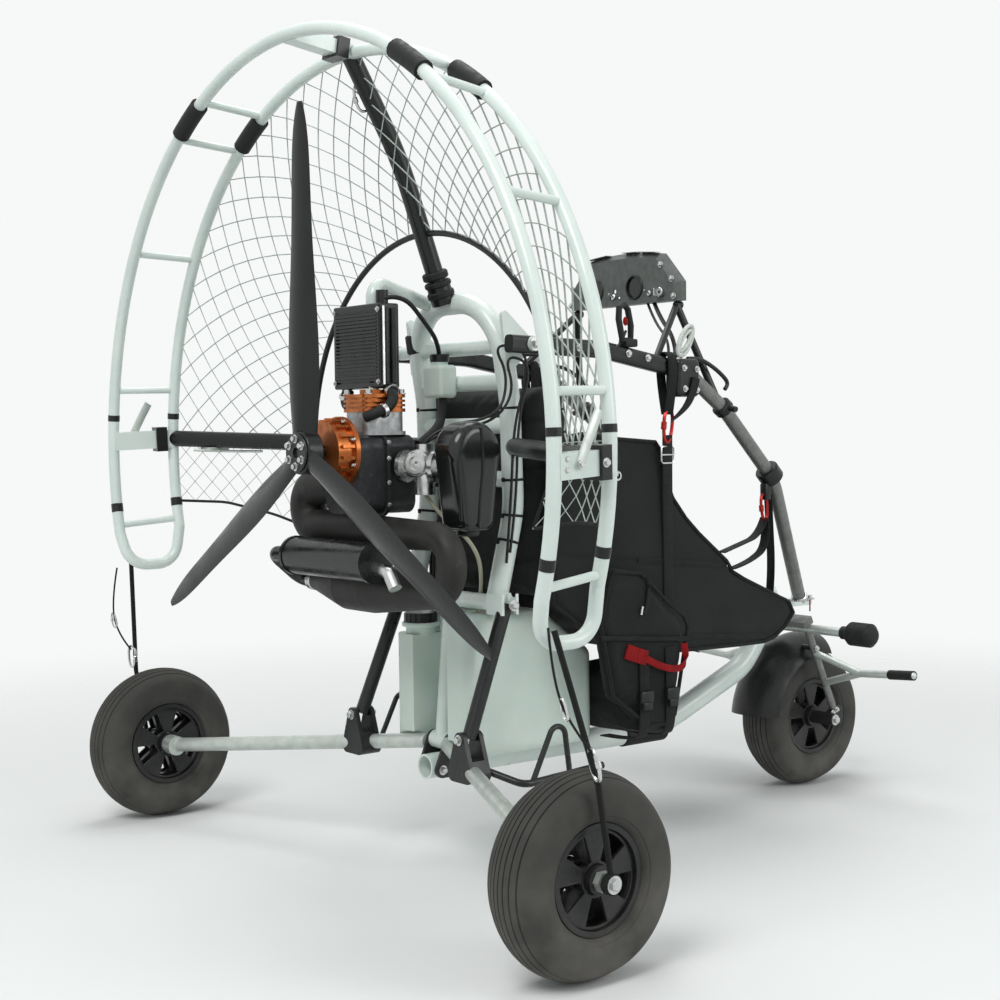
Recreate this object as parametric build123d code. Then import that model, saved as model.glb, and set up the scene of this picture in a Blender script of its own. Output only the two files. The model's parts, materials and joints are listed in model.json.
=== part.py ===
"""Paramotor trike: a three-wheeled undercarriage with a caged pusher engine, seat and steered front wheel.

Everything is laid out in millimetres from the floor point under the rear axle line, +X forward, +Y left
and +Z up, and is moved back by half the wheelbase on export, so that the origin ends up on the floor
at mid wheelbase.
"""
import os
from math import cos, radians, sin

from build123d import *

# Running gear
WHEELBASE = 1321.0
REAR_TRACK = 1448.0
TYRE_DIAMETER = 330.0
TYRE_WIDTH = 112.0
TYRE_TREAD_WIDTH = 88.0
TYRE_SHOULDER_DROP = 16.0
TYRE_BEAD_WIDTH = 76.0
RIM_DIAMETER = 176.0
RIM_WALL = 9.0
RIM_WIDTH = 84.0
RIM_DISC = 12.0
RIM_SPOKE_MARGIN = 6.0
RIM_WINDOWS = 5
RIM_WINDOW_ANGLE = 36.0
HUB_DIAMETER = 46.0
HUB_LENGTH = 92.0
REAR_SPINDLE_DIAMETER = 20.0
FRONT_SPINDLE_DIAMETER = 16.0
FRONT_SPACER_DIAMETER = 30.0
SPINDLE_NUT = 12.0
SPINDLE_NUT_RADIUS = 17.0
SPINDLE_STUD_DIAMETER = 12.0
SPINDLE_STUD = 34.0

# Clearances
SEAT = 0.3
RUNNING = 0.05
END_PLAY = 0.5
ROOM = 5.0

# Keel, rear axles and struts
KEEL_DIAMETER = 50.0
KEEL_BORE_DIAMETER = 42.0
KEEL_BORE_DEPTH = 150.0
KEEL_REAR_X = 217.0
KEEL_Z = 190.0
KEEL_RISE = 383.4
KEEL_KNEE = 108.4
KEEL_KNEE_Z = 300.0
KEEL_BEND = 420.0
KEEL_KNEE_BEND = 130.0
AXLE_DIAMETER = 30.0
AXLE_ROOT_X = 262.0
AXLE_ROOT_Z = 238.0
AXLE_BOSS_DIAMETER = 36.0
AXLE_KNUCKLE_DIAMETER = 42.0
AXLE_KNUCKLE = 34.0
CLAMP_PLATE = 6.0
CLAMP_CORNER = 16.0
CLAMP_BASE = 70.0
STRUT_DIAMETER = 28.0
STRUT_SHARE = 0.28
STRUT_BRACKET_HEIGHT = 58.0
STRUT_BRACKET_HALF_BASE = 22.0
STRUT_BRACKET_CORNER = 15.0
STRUT_BRACKET_CHEEK = 9.0
LOOP_DIAMETER = 11.0
LOOP_BASE_DIAMETER = 14.0
LOOP_Y = 260.0
LOOP_APEX_Z = 336.0
LOOP_LENGTH = 98.0

# Engine frame
FRAME_DIAMETER = 42.0
FRAME_CROSS_DIAMETER = 32.0
FRAME_HALF_WIDTH = 140.0
FRAME_FOOT_X = 288.0
FRAME_FOOT_Z = 522.0
FRAME_BELLY_X = 338.0
FRAME_BELLY_Z = 700.0
FRAME_WAIST_X = 332.0
FRAME_WAIST_Z = 915.0
FRAME_TOP_X = 300.0
FRAME_TOP_Z = 1108.0
FRAME_ARCH = 116.0
FRAME_BELLY_BEND = 240.0
FRAME_WAIST_BEND = 300.0
ENGINE_CROSS_Z = 760.0
MIDDLE_CROSS_Z = 865.0
UPPER_CROSS_Z = 950.0
GUSSET = 8.0
CLEVIS_CHEEK = 6.0
CLEVIS_HEIGHT = 40.0
POST_DIAMETER = 32.0

# Fuel tank
TANK_REAR_X = 232.0
TANK_FRONT_X = 556.0
TANK_WIDTH = 250.0
TANK_TOP_Z = 497.0
TANK_SHOULDER_X = 430.0
TANK_NOSE_Z = 405.0
TANK_ROUND = 24.0
TANK_RECESS_X = 314.0
TANK_RECESS_WIDTH = 116.0
TANK_RECESS_ROUND = 14.0
TANK_STEP_X = 318.0
TANK_STEP_Z = 446.0
NECK_DIAMETER = 60.0
NECK_HEIGHT = 16.0
CAP_DIAMETER = 68.0
CAP_HEIGHT = 26.0
CAP_GRIPS = 18
CAP_GRIP_DIAMETER = 5.0
NECK_INSET_X = 38.0
NECK_INSET_Y = 42.0

# Engine
PROP_X = -46.0
PROP_Z = 819.0
PROP_DIAMETER = 1302.0
PROP_HUB_DIAMETER = 82.0
PROP_HUB_LENGTH = 34.0
PROP_HUB_ROUND = 4.0
PROP_SHAFT_DIAMETER = 26.0
PROP_SHAFT = 40.0
REDUCTION_X = -8.0
REDUCTION_LENGTH = 42.0
REDUCTION_DIAMETER = 114.0
REDUCTION_FLANGE_DIAMETER = 134.0
REDUCTION_FLANGE = 9.0
REDUCTION_RIBS = 18
REDUCTION_RIB = 6.0
CRANKCASE_LENGTH = 128.0
CRANKCASE_WIDTH = 118.0
CRANKCASE_HEIGHT = 150.0
CRANKCASE_Z = 775.0
CRANKCASE_ROUND = 26.0
CRANKCASE_JOINT = 7.0
CRANKCASE_LIP = 5.0
IGNITION_COVER_DIAMETER = 54.0
IGNITION_COVER = 14.0
CYLINDER_SIDE = 90.0
CYLINDER_FOOT = 7.0
CYLINDER_HEIGHT = 44.0
CYLINDER_OFFSET = 12.0
HEAD_SIDE = 98.0
HEAD_HEIGHT = 34.0
HEAD_GROOVES = 3
HEAD_GROOVE = 4.0
HEAD_GROOVE_DEPTH = 7.0
HEAD_DOME_DIAMETER = 56.0
HEAD_DOME = 9.0
MOUNT_DIAMETER = 26.0
MOUNT_RUBBER_DIAMETER = 40.0
MOUNT_RUBBER = 30.0
MOUNT_HALF_WIDTH = 42.0
AIRBOX_X = 192.0
AIRBOX_Y = -186.0
AIRBOX_LOW_Z = 668.0
AIRBOX_SHOULDER_Z = 800.0
AIRBOX_TOP_Z = 874.0
AIRBOX_LENGTH = 108.0
AIRBOX_FOOT_LENGTH = 76.0
AIRBOX_WIDTH = 80.0
AIRBOX_ROUND = 22.0
CARB_X = 136.0
CARB_Z = 790.0
CARB_SWEEP = 44.0
CARB_DIAMETER = 44.0
CARB_FLANGE_DIAMETER = 62.0
CARB_FLANGE = 9.0
CARB_BOWL_DIAMETER = 40.0
CARB_BOWL_DROP = 54.0
CARB_CAP_DIAMETER = 32.0
CARB_CAP_RISE = 42.0

# Cooling
RADIATOR_X = 100.0
RADIATOR_Y = -36.0
RADIATOR_Z = 940.0
RADIATOR_DEPTH = 46.0
RADIATOR_WIDTH = 164.0
RADIATOR_HEIGHT = 162.0
RADIATOR_FINS = 20
RADIATOR_FRAME = 10.0
RADIATOR_SLOT = 4.0
RADIATOR_COLUMN_DIAMETER = 18.0
RADIATOR_CAP_DIAMETER = 24.0
RADIATOR_CAP_HEIGHT = 26.0
CARRIER_DIAMETER = 28.0
CARRIER_BEND = 27.0
CARRIER_RISE = 46.0
BOTTLE_SIZE = (44.0, 64.0, 66.0)
BOTTLE_Y = 30.0
BOTTLE_ROUND = 9.0
BOTTLE_NECK_DIAMETER = 34.0
BOTTLE_NECK = 20.0

# Exhaust
EXHAUST_X = 100.0
EXHAUST_HEADER_Z = 748.0
EXHAUST_UPPER_Z = 664.0
EXHAUST_LOWER_Z = 556.0
EXHAUST_LEFT_Y = 190.0
EXHAUST_RIGHT_Y = -206.0
EXHAUST_PORT_DIAMETER = 46.0
EXHAUST_ELBOW_DIAMETER = 76.0
EXHAUST_RETURN_DIAMETER = 54.0
EXHAUST_BELLY_DIAMETER = 98.0
EXHAUST_BELLY_LEFT_Y = 76.0
EXHAUST_BELLY_RIGHT_Y = -14.0
EXHAUST_END_Y = 212.0
EXHAUST_END_DIAMETER = 34.0
SILENCER_X = 33.0
SILENCER_Z = 613.0
SILENCER_DIAMETER = 74.0
SILENCER_LEFT_Y = 176.0
SILENCER_RIGHT_Y = -112.0
SILENCER_BAND = 8.0
SILENCER_BAND_RISE = 2.0
SILENCER_INLET_DIAMETER = 30.0
SILENCER_INLET_REACH = 52.0
SILENCER_INLET_BEND = 24.0
SILENCER_OUTLET_DIAMETER = 20.0
SILENCER_OUTLET_BEND = 16.0

# Propeller cage
HOOP_DIAMETER = 24.0
RUNG_DIAMETER = 15.0
REAR_HOOP_X = -79.0
REAR_HOOP_RADIUS = 764.5
REAR_HOOP_Z = 821.0
FRONT_HOOP_X = 54.0
FRONT_HOOP_RADIUS = 740.0
FRONT_HOOP_Z = 827.0
HOOP_TURN = 1.5
FOOT_ANGLE = 15.5
FOOT_DROP = 70.0
FOOT_BEND = 54.0
SOCKET_WIDTH = 40.0
SOCKET_DEPTH = 26.0
COLLAR_WIDTH = 54.0
COLLAR_DEPTH = 38.0
COLLAR_LENGTH = 24.0
COLLAR_SETBACK = 18.0
ARM_DIAMETER = 36.0
ARM_BEND = 520.0
ARM_BOOT_DIAMETER = 48.0
ARM_BOOT_SHARE = 0.84
NET_RIM_DIAMETER = 12.0
NET_RIM_RADIUS = 420.0
NET_RIM_X = 232.0
NET_RIM_LIFT = 4.0
NET_THICKNESS = 3.0
STRAP = 10.0
STRAP_EYE_DIAMETER = 34.0
STRAP_EYE = 12.0

# Hang arms, front stays and dash
HANG_ARM_Y = 220.0
HANG_ARM_HEIGHT = 34.0
HANG_ARM_WIDTH = 26.0
HANG_ARM_ROUND = 9.0
HANG_ARM_BEND = 260.0
HANG_ARM_TAIL = 49.0
HANG_PIVOT_X = 317.0
HANG_PIVOT_Z = 1019.0
HANG_PIVOT_DIAMETER = 28.0
HANG_PIVOT_END = 6.0
HANG_BEND_X = 500.0
HANG_BEND_Z = 1012.0
HANG_FRONT_X = 752.0
HANG_FRONT_Z = 968.0
HANG_HOLE_DIAMETER = 14.0
HANG_HOLE_X = 666.0
HANG_HOLE_Z = 984.0
HANG_SHOE = 62.0
HANG_SHOE_WIDTH = 44.0
HANG_SHOE_HEIGHT = 78.0
HANG_SHOE_ROUND = 10.0
STAY_DIAMETER = 30.0
STAY_BEND = 240.0
STAY_FOOT_Y = 98.0
DASH_X = 752.0
DASH_WIDTH = 350.0
DASH_Z = 1122.0
DASH_HEIGHT = 112.0
DASH_SHOULDER = 0.36
DASH_CORNER = 58.0
DASH_ARCH = 9.0
DASH_DEPTH = 26.0
DASH_WALL = 4.0
DASH_BEVEL = 12.0
DASH_POD_DIAMETER = 46.0
DASH_POD_DEPTH = 24.0
DASH_POD_RISE = 36.0
DASH_HOLE_DIAMETER = 10.0
POST_ROD_DIAMETER = 16.0
POST_BRACE_DIAMETER = 14.0
POST_INSET = 16.0
POST_SPLAY = 72.0

# Steering
RAKE = 24.5
HEAD_SETBACK = 92.6
HEAD_Z = 425.5
HEAD_DIAMETER = 46.0
STEERER_DIAMETER = 26.0
CROWN_THICKNESS = 14.0
CROWN_DEPTH = 34.0
CROWN_DROP = 26.0
CROWN_ROOM_DIAMETER = 104.0
HEAD_TUBE = 50.0
YOKE_THICKNESS = 10.0
YOKE_HALF_WIDTH = 118.0
YOKE_BACK = 42.0
YOKE_DROP = 26.0
YOKE_FRONT = 34.0
FORK_LEG_DIAMETER = 17.0
FORK_HALF_WIDTH = 90.0
FORK_LEG = 242.0
FORK_PLATE = 14.0
FORK_PLATE_CORNER = 15.0
PEG_DIAMETER = 21.0
PEG_GRIP_DIAMETER = 52.0
PEG_NECK_DIAMETER = 30.0
PEG_NECK = 26.0
PEG_GRIP_ROUND = 19.0
PEG_BAR = 196.0
PEG_GRIP = 92.0
FOOT_BAR_DIAMETER = 17.0
FOOT_BAR_UPPER = 110.0
FOOT_BAR_LOWER = 190.0
FOOT_BAR_KNOT = 120.0
FOOT_BAR_REACH = 278.0
FOOT_BAR_RISE = 14.0
MUDGUARD_RADIUS = 197.0
MUDGUARD_WALL = 3.0
MUDGUARD_WIDTH = 146.0
MUDGUARD_EDGE_DROP = 12.0
MUDGUARD_START = 6.0
MUDGUARD_ARC = 96.0
MUDGUARD_TAB = 96.0
MUDGUARD_TAB_DIAMETER = 12.0

# Seat
SEAT_HALF_WIDTH = 200.0
SEAT_SKIN = 8.0
SEAT_BACK_THICKNESS = 78.0
SEAT_BACK_TOP_Z = 960.0
SEAT_BACK_ROUND = 20.0
SEAT_BACK_LIFT = 12.0
SEAT_REST = 0.6
SEAT_BASE_X = 622.0
SEAT_BASE_Z = 432.0
SEAT_NOSE_SETBACK = 142.0
SEAT_NOSE_Z = 452.0
SEAT_BASE_THICKNESS = 62.0
SIDE_DROP = 112.0
SIDE_WAIST = 250.0
SIDE_THIGH = 168.0
SIDE_KNEE = 94.0
BAG_REAR_X = 572.0
BAG_FRONT_X = 742.0
BAG_INNER_Y = 36.0
BAG_OUTER_Y = 238.0
BAG_LOW_Z = 226.0
BAG_ROUND = 20.0
BAG_FLAP = [
    # x, z, corner radius of the pouch that lies against the seat side
    (480.0, 470.0, 26.0),
    (512.0, 568.0, 26.0),
    (612.0, 556.0, 26.0),
    (704.0, 474.0, 36.0),
    (700.0, 270.0, 30.0),
    (606.0, 268.0, 30.0),
    (520.0, 330.0, 34.0),
]

TYRE_RADIUS = TYRE_DIAMETER / 2
RIM_RADIUS = RIM_DIAMETER / 2
AXLE_Z = TYRE_RADIUS
WHEEL_Y = REAR_TRACK / 2
HEAD_X = WHEELBASE - HEAD_SETBACK
HEAD_TILT = (sin(radians(RAKE)), 0.0, -cos(radians(RAKE)))
CLAMP_INNER = KEEL_DIAMETER / 2 + SEAT
CLAMP_OUTER = CLAMP_INNER + CLAMP_PLATE
FAR = 4 * WHEELBASE

pieces = {}


def rod(start, end, diameter):
    """Round bar from one point to another."""
    run = Vector(*end) - Vector(*start)
    plane = Plane(origin=start, z_dir=run)
    return plane * Cylinder(diameter / 2, run.length, align=(Align.CENTER, Align.CENTER, Align.MIN))


def taper(start, end, start_diameter, end_diameter):
    """Cone frustum from one point to another."""
    run = Vector(*end) - Vector(*start)
    plane = Plane(origin=start, z_dir=run)
    low = (Align.CENTER, Align.CENTER, Align.MIN)
    return plane * Cone(start_diameter / 2, end_diameter / 2, run.length, align=low)


def ball(centre, diameter):
    return Pos(*centre) * Sphere(diameter / 2)


def bent_tube(points, diameter, bends):
    """Round bar along straight runs joined by tangent arcs."""
    path = FilletPolyline(*points, radius=bends)
    return sweep(Plane(origin=path @ 0, z_dir=path % 0) * Circle(diameter / 2), path=path)


def block(low, high):
    """Box between two corners."""
    size = [b - a for a, b in zip(low, high)]
    middle = [(a + b) / 2 for a, b in zip(low, high)]
    return Pos(*middle) * Box(*size)


def side_plate(outline, y_low, y_high):
    """Plate with an outline in X and Z, between two values of Y."""
    face = make_face(Polyline(*[(x, 0, z) for x, z in outline], close=True))
    return Pos(0, y_low, 0) * extrude(face, amount=y_high - y_low, dir=(0, 1, 0))


def rounded_plate(corners, y_low, y_high):
    """Plate stretched round corner circles, each an x, z and radius, between two values of Y."""
    rings = [Pos(x, z) * Circle(radius) for x, z, radius in corners]
    hull = make_hull([ring.edge() for ring in rings])
    return Pos(0, y_high, 0) * (Plane.XZ * extrude(hull, amount=y_high - y_low))


def both_sides(shape):
    """A left piece and its mirror image on the right."""
    return [shape, mirror(shape, about=Plane.XZ)]


def joined(shapes):
    """One solid from several that run into each other."""
    whole = shapes[0]
    for shape in shapes[1:]:
        whole = whole + shape
    return whole


def without(shape, cutters):
    """A solid cut back from its neighbours."""
    for cutter in cutters:
        shape = shape - cutter
    return shape


def between(start, end, share):
    """Point part of the way from one point to another."""
    return tuple(a + share * (b - a) for a, b in zip(start, end))


# Wheels: balloon tyres on moulded rims with five wedge-shaped windows
def tyre():
    half_bead = TYRE_BEAD_WIDTH / 2
    half_width = TYRE_WIDTH / 2
    half_tread = TYRE_TREAD_WIDTH / 2
    bead = RIM_RADIUS + SEAT
    shoulder = TYRE_RADIUS - TYRE_SHOULDER_DROP
    waist = (bead + shoulder) / 2 + TYRE_SHOULDER_DROP / 4
    left = ThreePointArc((bead, half_bead), (waist, half_width), (shoulder, half_tread))
    crown = ThreePointArc((shoulder, half_tread), (TYRE_RADIUS, 0), (shoulder, -half_tread))
    right = ThreePointArc((shoulder, -half_tread), (waist, -half_width), (bead, -half_bead))
    seat = Line((bead, -half_bead), (bead, half_bead))
    return revolve(make_face([left, crown, right, seat]), axis=Axis.Y)


def rim(bore):
    inner = RIM_RADIUS - RIM_WALL
    along_y = Rot(90, 0, 0)
    barrel = along_y * (Cylinder(RIM_RADIUS, RIM_WIDTH) - Cylinder(inner, RIM_WIDTH))
    disc = along_y * Cylinder(inner + RIM_WALL / 2, RIM_DISC)
    hub = along_y * Cylinder(HUB_DIAMETER / 2, HUB_LENGTH)
    root = HUB_DIAMETER / 2 + RIM_SPOKE_MARGIN
    tip = inner - RIM_SPOKE_MARGIN
    half = radians(RIM_WINDOW_ANGLE / 2)
    window = make_face(
        [
            ThreePointArc(
                (root * cos(half), -root * sin(half)), (root, 0), (root * cos(half), root * sin(half))
            ),
            Line((root * cos(half), root * sin(half)), (tip * cos(half), tip * sin(half))),
            ThreePointArc((tip * cos(half), tip * sin(half)), (tip, 0), (tip * cos(half), -tip * sin(half))),
            Line((tip * cos(half), -tip * sin(half)), (root * cos(half), -root * sin(half))),
        ]
    )
    cutter = along_y * (Pos(0, 0, -RIM_DISC) * extrude(window, amount=2 * RIM_DISC))
    for step in range(RIM_WINDOWS):
        disc = disc - Rot(0, 360 / RIM_WINDOWS * step + 90, 0) * cutter
    wheel = joined([barrel, disc, hub])
    return wheel - along_y * Cylinder(bore / 2 + RUNNING, HUB_LENGTH + ROOM)


WHEELS = [
    # body, hub centre x, hub centre y, spindle
    ("rear_left", 0.0, WHEEL_Y, REAR_SPINDLE_DIAMETER),
    ("rear_right", 0.0, -WHEEL_Y, REAR_SPINDLE_DIAMETER),
    ("front", WHEELBASE, 0.0, FRONT_SPINDLE_DIAMETER),
]
for body, hub_x, hub_y, spindle in WHEELS:
    place = Pos(hub_x, hub_y, AXLE_Z)
    pieces[body + "_tyre"] = place * tyre()
    pieces[body + "_rim"] = place * rim(spindle)


# Keel: one bent tube with an open rear end, welded to the steering head
def along_head(distance):
    """Point on the steering axis, measured down it from the crown's top face."""
    return tuple(c + distance * t for c, t in zip((HEAD_X, 0.0, HEAD_Z), HEAD_TILT))


def keel(extra=0.0):
    points = [
        (KEEL_REAR_X, 0, KEEL_Z),
        (HEAD_X - KEEL_RISE, 0, KEEL_Z),
        (HEAD_X - KEEL_KNEE, 0, KEEL_KNEE_Z),
        along_head(-ROOM),
    ]
    return bent_tube(points, KEEL_DIAMETER + 2 * extra, [KEEL_BEND, KEEL_KNEE_BEND])


head_foot = along_head(CROWN_DROP - CROWN_THICKNESS / 2 - END_PLAY)
head_top = along_head(-HEAD_TUBE)
head_tube = rod(head_foot, head_top, HEAD_DIAMETER)
yoke_z = head_top[2] - YOKE_DROP
yoke_plate = block(
    (head_top[0] - YOKE_BACK, -YOKE_HALF_WIDTH, yoke_z),
    (head_top[0] + YOKE_FRONT, YOKE_HALF_WIDTH, yoke_z + YOKE_THICKNESS),
)
yoke_plate = fillet(yoke_plate.edges().filter_by(Axis.Z), YOKE_FRONT / 2)
head_line = (along_head(HEAD_TUBE), along_head(-2 * HEAD_TUBE))
head_bore = rod(*head_line, STEERER_DIAMETER + 2 * RUNNING)
pieces["steering_head"] = without(joined([head_tube, yoke_plate]), [head_bore])
bore_end = (KEEL_REAR_X + KEEL_BORE_DEPTH, 0, KEEL_Z)
keel_bore = rod((KEEL_REAR_X - ROOM, 0, KEEL_Z), bore_end, KEEL_BORE_DIAMETER)
crown_top = CROWN_DROP - CROWN_THICKNESS / 2
crown_room = rod(along_head(crown_top - 1.2 * ROOM), along_head(crown_top + HEAD_TUBE), CROWN_ROOM_DIAMETER)
keel_cutters = [pieces["steering_head"], rod(*head_line, HEAD_DIAMETER), keel_bore, crown_room]
pieces["keel_tube"] = without(keel(), keel_cutters)


# Rear axles: swept-back tubes with a knuckle and spindle, pinned between two plates on the keel
AXLE_ROOT = (AXLE_ROOT_X, 0.0, AXLE_ROOT_Z)
AXLE_TIP_Y = WHEEL_Y - HUB_LENGTH / 2 - END_PLAY


def axle_line(share):
    """Point on the left axle tube's centre line, from the keel to the knuckle."""
    return between(AXLE_ROOT, (0.0, AXLE_TIP_Y - AXLE_KNUCKLE / 2, AXLE_Z), share)


def axle_tube(extra=0.0):
    return rod(AXLE_ROOT, axle_line(1.0), AXLE_DIAMETER + 2 * extra)


def axle():
    knuckle = rod((0, AXLE_TIP_Y - AXLE_KNUCKLE, AXLE_Z), (0, AXLE_TIP_Y, AXLE_Z), AXLE_KNUCKLE_DIAMETER)
    nut_y = WHEEL_Y + HUB_LENGTH / 2 + END_PLAY
    spindle_rod = rod((0, AXLE_TIP_Y - ROOM, AXLE_Z), (0, nut_y + ROOM, AXLE_Z), REAR_SPINDLE_DIAMETER)
    nut_face = RegularPolygon(SPINDLE_NUT_RADIUS, 6)
    nut = Pos(0, nut_y, AXLE_Z) * Rot(-90, 0, 0) * extrude(nut_face, amount=SPINDLE_NUT)
    stud = rod((0, nut_y, AXLE_Z), (0, nut_y + SPINDLE_STUD, AXLE_Z), SPINDLE_STUD_DIAMETER)
    middle = block((-FAR, -FAR, -FAR), (FAR, CLAMP_OUTER + SEAT, FAR))
    return joined([axle_tube(), knuckle, spindle_rod, nut, stud]) - middle


axle_left, axle_right = both_sides(axle())
pieces["axle_left"] = axle_left
pieces["axle_right"] = axle_right
clamp_corners = [
    # x, z, corner radius
    (KEEL_REAR_X + CLAMP_CORNER + ROOM, KEEL_Z - ROOM, CLAMP_CORNER),
    (KEEL_REAR_X + CLAMP_CORNER + ROOM + CLAMP_BASE, KEEL_Z - ROOM, CLAMP_CORNER),
    (AXLE_ROOT_X, AXLE_ROOT_Z, AXLE_BOSS_DIAMETER / 2),
]
clamp_plate = rounded_plate(clamp_corners, CLAMP_INNER, CLAMP_OUTER)
pieces["axle_clamp"] = Compound(children=both_sides(clamp_plate))


# Engine frame: two bent uprights under one arch, with cross tubes, a centre post, gussets and strut clevises
def upright(extra=0.0):
    half = FRAME_HALF_WIDTH
    points = [
        (FRAME_FOOT_X, half, FRAME_FOOT_Z - FRAME_CROSS_DIAMETER / 2),
        (FRAME_BELLY_X, half, FRAME_BELLY_Z),
        (FRAME_WAIST_X, half, FRAME_WAIST_Z),
        (FRAME_TOP_X, half, FRAME_TOP_Z),
        (FRAME_TOP_X, 0, FRAME_TOP_Z),
    ]
    bends = [FRAME_BELLY_BEND, FRAME_WAIST_BEND, FRAME_ARCH]
    return bent_tube(points, FRAME_DIAMETER + 2 * extra, bends)


def upright_x(z):
    """Where the upright's centre line is at a height above its waist."""
    return FRAME_WAIST_X + (FRAME_TOP_X - FRAME_WAIST_X) * (z - FRAME_WAIST_Z) / (FRAME_TOP_Z - FRAME_WAIST_Z)


def frame_cross(x, z, half_length, diameter):
    return rod((x, -half_length, z), (x, half_length, z), diameter)


foot_x = FRAME_FOOT_X + SEAT_REST
upper_x = upright_x(UPPER_CROSS_Z)
pivot_half = HANG_ARM_Y + HANG_ARM_WIDTH / 2 + HANG_PIVOT_END
FRAME_CROSSES = [
    # x, z, half length, diameter
    (foot_x, FRAME_FOOT_Z, FRAME_HALF_WIDTH, FRAME_CROSS_DIAMETER),
    (FRAME_BELLY_X, ENGINE_CROSS_Z, FRAME_HALF_WIDTH, FRAME_CROSS_DIAMETER),
    (FRAME_WAIST_X, MIDDLE_CROSS_Z, FRAME_HALF_WIDTH, FRAME_CROSS_DIAMETER),
    (upper_x, UPPER_CROSS_Z, FRAME_HALF_WIDTH, FRAME_CROSS_DIAMETER),
    (HANG_PIVOT_X, HANG_PIVOT_Z, pivot_half, HANG_PIVOT_DIAMETER),
]
boss = frame_cross(AXLE_ROOT_X, AXLE_ROOT_Z, CLAMP_INNER - SEAT, AXLE_BOSS_DIAMETER)
post = rod(AXLE_ROOT, (foot_x, 0, FRAME_FOOT_Z), POST_DIAMETER)
gusset_y = FRAME_HALF_WIDTH + FRAME_DIAMETER / 2 - GUSSET
gusset_corners = [
    # x, z, corner radius
    (HANG_PIVOT_X - FRAME_DIAMETER / 4, HANG_PIVOT_Z + 1.4 * FRAME_DIAMETER, GUSSET),
    (HANG_PIVOT_X, HANG_PIVOT_Z - FRAME_DIAMETER, GUSSET),
    (HANG_PIVOT_X + FRAME_DIAMETER, HANG_PIVOT_Z + GUSSET / 2, 2 * GUSSET),
]
gusset = rounded_plate(gusset_corners, gusset_y, gusset_y + GUSSET)
strut_top = (foot_x, FRAME_HALF_WIDTH + FRAME_DIAMETER / 2 + STRUT_DIAMETER / 2, FRAME_FOOT_Z)
clevis_gap = STRUT_DIAMETER / 2 + SEAT
cheeks = []
for cheek_x in (foot_x - clevis_gap - CLEVIS_CHEEK, foot_x + clevis_gap):
    cheek_low = (cheek_x, FRAME_HALF_WIDTH, FRAME_FOOT_Z - CLEVIS_HEIGHT / 2)
    cheek_high = (cheek_x + CLEVIS_CHEEK, strut_top[1] + STRUT_DIAMETER / 2, FRAME_FOOT_Z + CLEVIS_HEIGHT / 2)
    cheeks.append(block(cheek_low, cheek_high))
strut_foot = axle_line(STRUT_SHARE)
strut_foot = (strut_foot[0], strut_foot[1], strut_foot[2] + STRUT_BRACKET_HEIGHT)
strut = rod(strut_foot, strut_top, STRUT_DIAMETER)
strut_room = rod(strut_foot, between(strut_foot, strut_top, 1.1), STRUT_DIAMETER + 2 * SEAT)
frame_tubes = [*both_sides(upright()), *[frame_cross(*row) for row in FRAME_CROSSES], boss, post]
for side_piece in (gusset, *cheeks):
    frame_tubes += both_sides(side_piece)
pieces["engine_frame"] = without(joined(frame_tubes), both_sides(strut_room))
pieces["axle_struts"] = Compound(children=both_sides(strut))


# Strut brackets: two rounded cheeks on a block that clamps the axle tube
def strut_bracket():
    middle = axle_line(STRUT_SHARE)
    corners = [
        # y, z, corner radius
        (middle[1] - STRUT_BRACKET_HALF_BASE, middle[2] - STRUT_BRACKET_CORNER / 2, STRUT_BRACKET_CORNER),
        (middle[1] + STRUT_BRACKET_HALF_BASE, middle[2] - STRUT_BRACKET_CORNER / 2, STRUT_BRACKET_CORNER),
        (middle[1], middle[2] + STRUT_BRACKET_HEIGHT, STRUT_BRACKET_CORNER),
    ]
    depth = STRUT_DIAMETER + 2 * SEAT + 2 * STRUT_BRACKET_CHEEK
    rings = [Pos(y, z) * Circle(radius) for y, z, radius in corners]
    hull = make_hull([ring.edge() for ring in rings])
    plane = Plane(origin=(middle[0] - depth / 2, 0, 0), x_dir=(0, 1, 0), z_dir=(1, 0, 0))
    plate = plane * extrude(hull, amount=depth)
    half_slot = STRUT_DIAMETER / 2 + SEAT
    slot_low = (middle[0] - half_slot, -FAR, middle[2] + AXLE_DIAMETER / 2 + ROOM)
    slot = block(slot_low, (middle[0] + half_slot, FAR, FAR))
    return without(plate, [axle_tube(SEAT), slot, strut_room])


pieces["axle_brackets"] = Compound(children=both_sides(strut_bracket()))


# Side loops: bent rod loops on a foot rail that runs forward from the strut brackets
def side_loop():
    middle = axle_line(STRUT_SHARE)
    rear_x = middle[0] + STRUT_DIAMETER / 2 + STRUT_BRACKET_CHEEK
    rail_x = rear_x + LOOP_LENGTH / 2
    rail_end = rail_x + 2 * LOOP_LENGTH
    rail_points = [
        (rear_x, middle[1], middle[2]),
        (rail_x, LOOP_Y, KEEL_Z),
        (rail_end, LOOP_Y, KEEL_Z + LOOP_DIAMETER),
    ]
    rail = bent_tube(rail_points, LOOP_BASE_DIAMETER, [LOOP_LENGTH / 3])
    loop_points = [
        (rail_x + LOOP_LENGTH / 5, LOOP_Y, KEEL_Z),
        (rail_x + LOOP_LENGTH * 0.95, LOOP_Y, LOOP_APEX_Z),
        (rail_x + LOOP_LENGTH * 1.15, LOOP_Y, KEEL_Z + LOOP_DIAMETER / 2),
    ]
    loop = bent_tube(loop_points, LOOP_DIAMETER, [LOOP_LENGTH / 5])
    return without(joined([rail, loop]), [pieces["axle_brackets"]])


pieces["side_loops"] = Compound(children=both_sides(side_loop()))


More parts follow.
